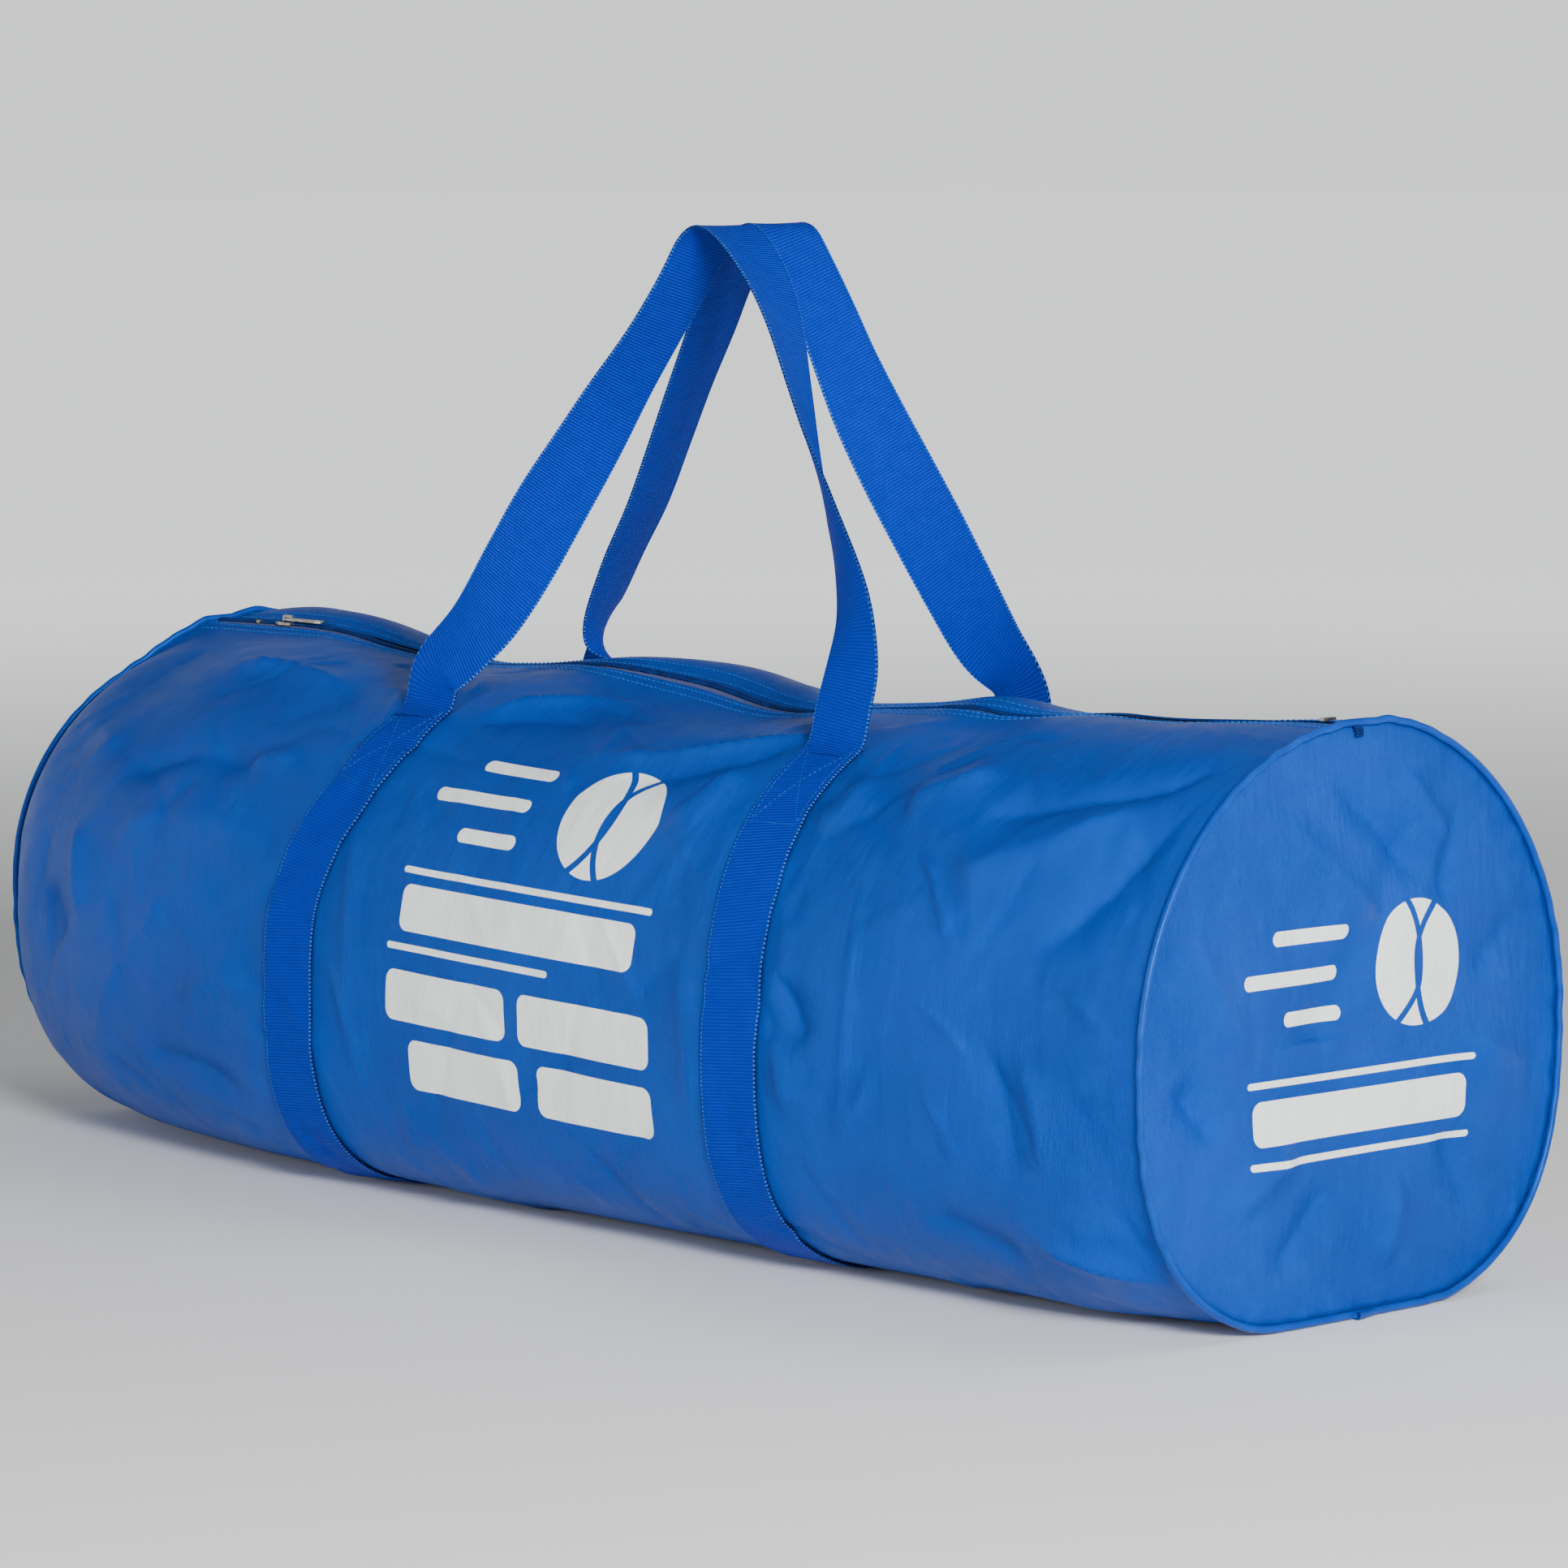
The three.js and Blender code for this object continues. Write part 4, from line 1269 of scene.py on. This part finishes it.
for side in SIDES:
    for end in ("left", "right"):
        s_line, w_line = band_path(side, end)
        strap = laid_ribbon(f"{side}_{end}_band_webbing", side, s_line, w_line, webbing, BAND_LIFT)
        low = float(halves[side]["points"][ROWS // 2, FOLD_COLUMN, 2])
        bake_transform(strap)
        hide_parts(f"{side}_{end}_band_top")
        if side == "front":
            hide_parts(f"{end}_band")
        at, corners, _ = box_stitch_lines(s_line, w_line, 62.0)
        firsts, lasts, ups = [], [], []
        for (a0, e0), (a1, e1) in corners:
            length = math.hypot(a1 - a0, e1 - e0)
            for k in range(int(length / 3.2)):
                t0, t1 = k * 3.2 / length, (k * 3.2 + 2.4) / length
                p, n = sample(side, *at(mix(a0, a1, t0), mix(e0, e1, t0)), BAND_LIFT + WEB_THICKNESS)
                q, _ = sample(side, *at(mix(a0, a1, t1), mix(e0, e1, t1)), BAND_LIFT + WEB_THICKNESS)
                firsts.append(p)
                lasts.append(q)
                ups.append(n)
        box = stitches(f"{side}_{end}_box_stitches", firsts, lasts, ups, 0.34, thread_dark)
        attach(box, f"{side}_mouth")

# Handle routes: x, y, z of the webbing's middle, and the turn of its width in degrees.
HANDLES = {
    "front": [
        (-150, -75, 281, 0), (-134, -71, 296, 8), (-118, -65, 314, 18), (-98, -58, 345, 34),
        (-79, -52, 376, 47), (-59, -45, 407, 63), (-40, -38, 438, 77), (-20, -31, 468, 87),
        (0, -25, 500, 90), (11, -21.5, 520, 90), (22, -21, 526, 90), (36, -21.5, 520, 95),
        (62, -26, 497, 104), (79, -31, 475, 112), (98, -38, 442, 122), (114, -44, 414, 131),
        (132, -50, 386, 143), (149, -55, 358, 151), (164, -62, 328, 163), (168, -68, 300, 178),
        (168, -74, 282, 180),
    ],
    "rear": [
        (-182, 75, 281, 165), (-180, 72, 292, 127), (-173, 67, 304, 115), (-148, 60, 337, 108),
        (-119, 53, 370, 105), (-94, 46, 403, 104), (-70, 39, 435, 102), (-47, 33, 465, 98),
        (-24, 26, 495, 94), (-2, 22, 516, 91), (12, 21, 525, 90), (25, 21, 525, 90),
        (35, 24, 508, 88), (45, 29, 484, 84), (55, 36, 454, 76), (68, 42, 424, 61),
        (83, 48, 395, 48), (100, 54, 365, 38), (116, 60, 336, 28), (134, 66, 306, 17),
        (146, 71, 292, 6), (150, 75, 280, 0),
    ],
}
FOOT_TWIST = {
    ("front", "left"): 0,
    ("front", "right"): 180,
    ("rear", "left"): 180,
    ("rear", "right"): 0,
}


def spline(knots, step):
    """A smooth path through the knots: centripetal Catmull-Rom, evenly sampled."""
    knots = np.asarray(knots, float)
    padded = np.concatenate([[2 * knots[0] - knots[1]], knots, [2 * knots[-1] - knots[-2]]])
    gaps = np.linalg.norm(np.diff(padded[:, :3], axis=0), axis=1) ** 0.5
    found = []
    for i in range(1, len(padded) - 2):
        p = padded[i - 1 : i + 3]
        t = np.concatenate([[0], np.cumsum(gaps[i - 1 : i + 2])])
        x = np.linspace(t[1], t[2], 24, endpoint=False)[:, None]
        a1 = (t[1] - x) / (t[1] - t[0]) * p[0] + (x - t[0]) / (t[1] - t[0]) * p[1]
        a2 = (t[2] - x) / (t[2] - t[1]) * p[1] + (x - t[1]) / (t[2] - t[1]) * p[2]
        a3 = (t[3] - x) / (t[3] - t[2]) * p[2] + (x - t[2]) / (t[3] - t[2]) * p[3]
        b1 = (t[2] - x) / (t[2] - t[0]) * a1 + (x - t[0]) / (t[2] - t[0]) * a2
        b2 = (t[3] - x) / (t[3] - t[1]) * a2 + (x - t[1]) / (t[3] - t[1]) * a3
        found.append((t[2] - x) / (t[2] - t[1]) * b1 + (x - t[1]) / (t[2] - t[1]) * b2)
    found = np.concatenate(found + [knots[-1:]])
    run = np.concatenate([[0], np.cumsum(np.linalg.norm(np.diff(found[:, :3], axis=0), axis=1))])
    places = np.arange(0, run[-1], step)
    return np.stack([np.interp(places, run, found[:, k]) for k in range(found.shape[1])], -1)


def soften(values, width):
    """A running mean along the first axis that keeps the ends."""
    kernel = np.hanning(width)
    kernel /= kernel.sum()
    reach = width // 2
    padded = np.concatenate([[values[0]] * reach, values, [values[-1]] * reach])
    return np.stack(
        [np.convolve(padded[:, k], kernel, "valid") for k in range(values.shape[1])], -1
    )[: len(values)]


def foot_points(side, end):
    """Where the handle leaves the band: two points on the webbing, the lower one first."""
    s_line, w_line = band_path(side, end)
    lift = BAND_LIFT + WEB_THICKNESS / 2
    low, _ = sample(side, s_line[6], w_line[6], lift + 0.2)
    high, _ = sample(side, s_line[0], w_line[0], lift + 0.5)
    return low, high


HANDLE_SPLIT = 345.0
for side in SIDES:
    knots = [list(k) for k in HANDLES[side]]
    low_l, high_l = foot_points(side, "left")
    low_r, high_r = foot_points(side, "right")
    first = [list(low_l) + [FOOT_TWIST[(side, "left")]], list(high_l) + [FOOT_TWIST[(side, "left")]]]
    last = [list(high_r) + [FOOT_TWIST[(side, "right")]], list(low_r) + [FOOT_TWIST[(side, "right")]]]
    path = spline(first + knots + last, 2.0)
    path = soften(path, 15)
    twist = np.radians(path[:, 3])
    across = np.stack([np.cos(twist), np.sin(twist), 0 * twist], -1)
    middles = path[:, :3]
    top = int(np.argmax(middles[:, 2]))
    left_cut = int(np.argmax(middles[:, 2] > HANDLE_SPLIT))
    right_cut = len(middles) - 1 - int(np.argmax(middles[::-1, 2] > HANDLE_SPLIT))
    pieces = {
        "left": slice(0, left_cut + 1),
        "arch": slice(left_cut, right_cut + 1),
        "right": slice(right_cut, len(middles)),
    }
    shape = ribbon_shape(middles, across)
    for piece_name, part in pieces.items():
        strap = ribbon(f"{side}_handle_webbing_{piece_name}", shape, part, webbing)
        if piece_name == "arch":
            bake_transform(strap)
        else:
            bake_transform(strap)
        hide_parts(f"{side}_handle_{piece_name}")

# ------------------------------------------------------------------ slider, pull and stops
for node in ("zip_slider", "zip_pull", "zip_stop_left", "zip_stop_right"):
    part = bpy.data.objects[node] if node in bpy.data.objects else None
    if part is not None:
        part.data.materials.clear()
        part.data.materials.append(metal)

# ------------------------------------------------------------------ floor and light
floor_mesh = bpy.data.meshes.new("floor")
floor_mesh.from_pydata([(-30, -30, 0), (30, -30, 0), (30, 30, 0), (-30, 30, 0)], [], [(0, 1, 2, 3)])
floor = bpy.data.objects.new("floor", floor_mesh)
floor_shader = Shader("floor_paper")
floor_place = floor_shader.node("ShaderNodeTexCoord").outputs["Object"]
grain = floor_shader.noise(floor_place, 3.0, 2.0, 0.4)
distance = floor_shader.node("ShaderNodeVectorMath", {0: floor_place}, operation="LENGTH")
floor_mesh.materials.append(
    floor_shader.finish(
        Base_Color=floor_shader.mix(grain, rgb(0.90, 0.90, 0.90), rgb(0.92, 0.92, 0.92)),
        Roughness=0.85,
        # far off, the paper glows to match the backdrop: painted light, an emission that rises with the
        # distance from the floor's middle
        Emission_Color=rgb(0.96, 0.98, 1.0),
        Emission_Strength=floor_shader.ramp(distance.outputs["Value"], 1.0, 4.5, 0.0, 0.93),
    )
)
bpy.context.scene.collection.objects.link(floor)
floor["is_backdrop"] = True

world = bpy.data.worlds.new("studio")
world.use_nodes = True
background = next(n for n in world.node_tree.nodes if n.type == "BACKGROUND")
# pale all round at eye level and darker overhead
sky = world.node_tree.nodes
direction = sky.new("ShaderNodeTexCoord")
height = sky.new("ShaderNodeSeparateXYZ")
fade = sky.new("ShaderNodeMapRange")
links = world.node_tree.links
links.new(direction.outputs["Generated"], height.inputs[0])
links.new(height.outputs[2], fade.inputs[0])
for index, value in ((1, 0.06), (2, 0.42), (3, 1.15), (4, 0.18)):
    fade.inputs[index].default_value = value
links.new(fade.outputs[0], background.inputs[1])
background.inputs[0].default_value = rgb(0.96, 0.98, 1.0)
bpy.context.scene.world = world


def softbox(name, spot, target, size, power):
    data = bpy.data.lights.new(name, "AREA")
    data.shape = "RECTANGLE"
    data.size, data.size_y = size
    data.energy = power
    lamp = bpy.data.objects.new(name, data)
    lamp.location = spot
    lamp.rotation_euler = (Vector(target) - Vector(spot)).to_track_quat("-Z", "Y").to_euler()
    bpy.context.scene.collection.objects.link(lamp)


softbox("key", (2.9, -1.5, 1.15), (0.2, 0, 0.15), (0.8, 0.6), 165)
softbox("fill", (-0.6, -3.1, 0.75), (-0.2, 0, 0.1), (0.8, 0.8), 24)
softbox("top", (1.0, 0.9, 2.4), (0.2, 0, 0.2), (1.4, 1.0), 13)

low, high = (list(map(float, corner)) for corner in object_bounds())
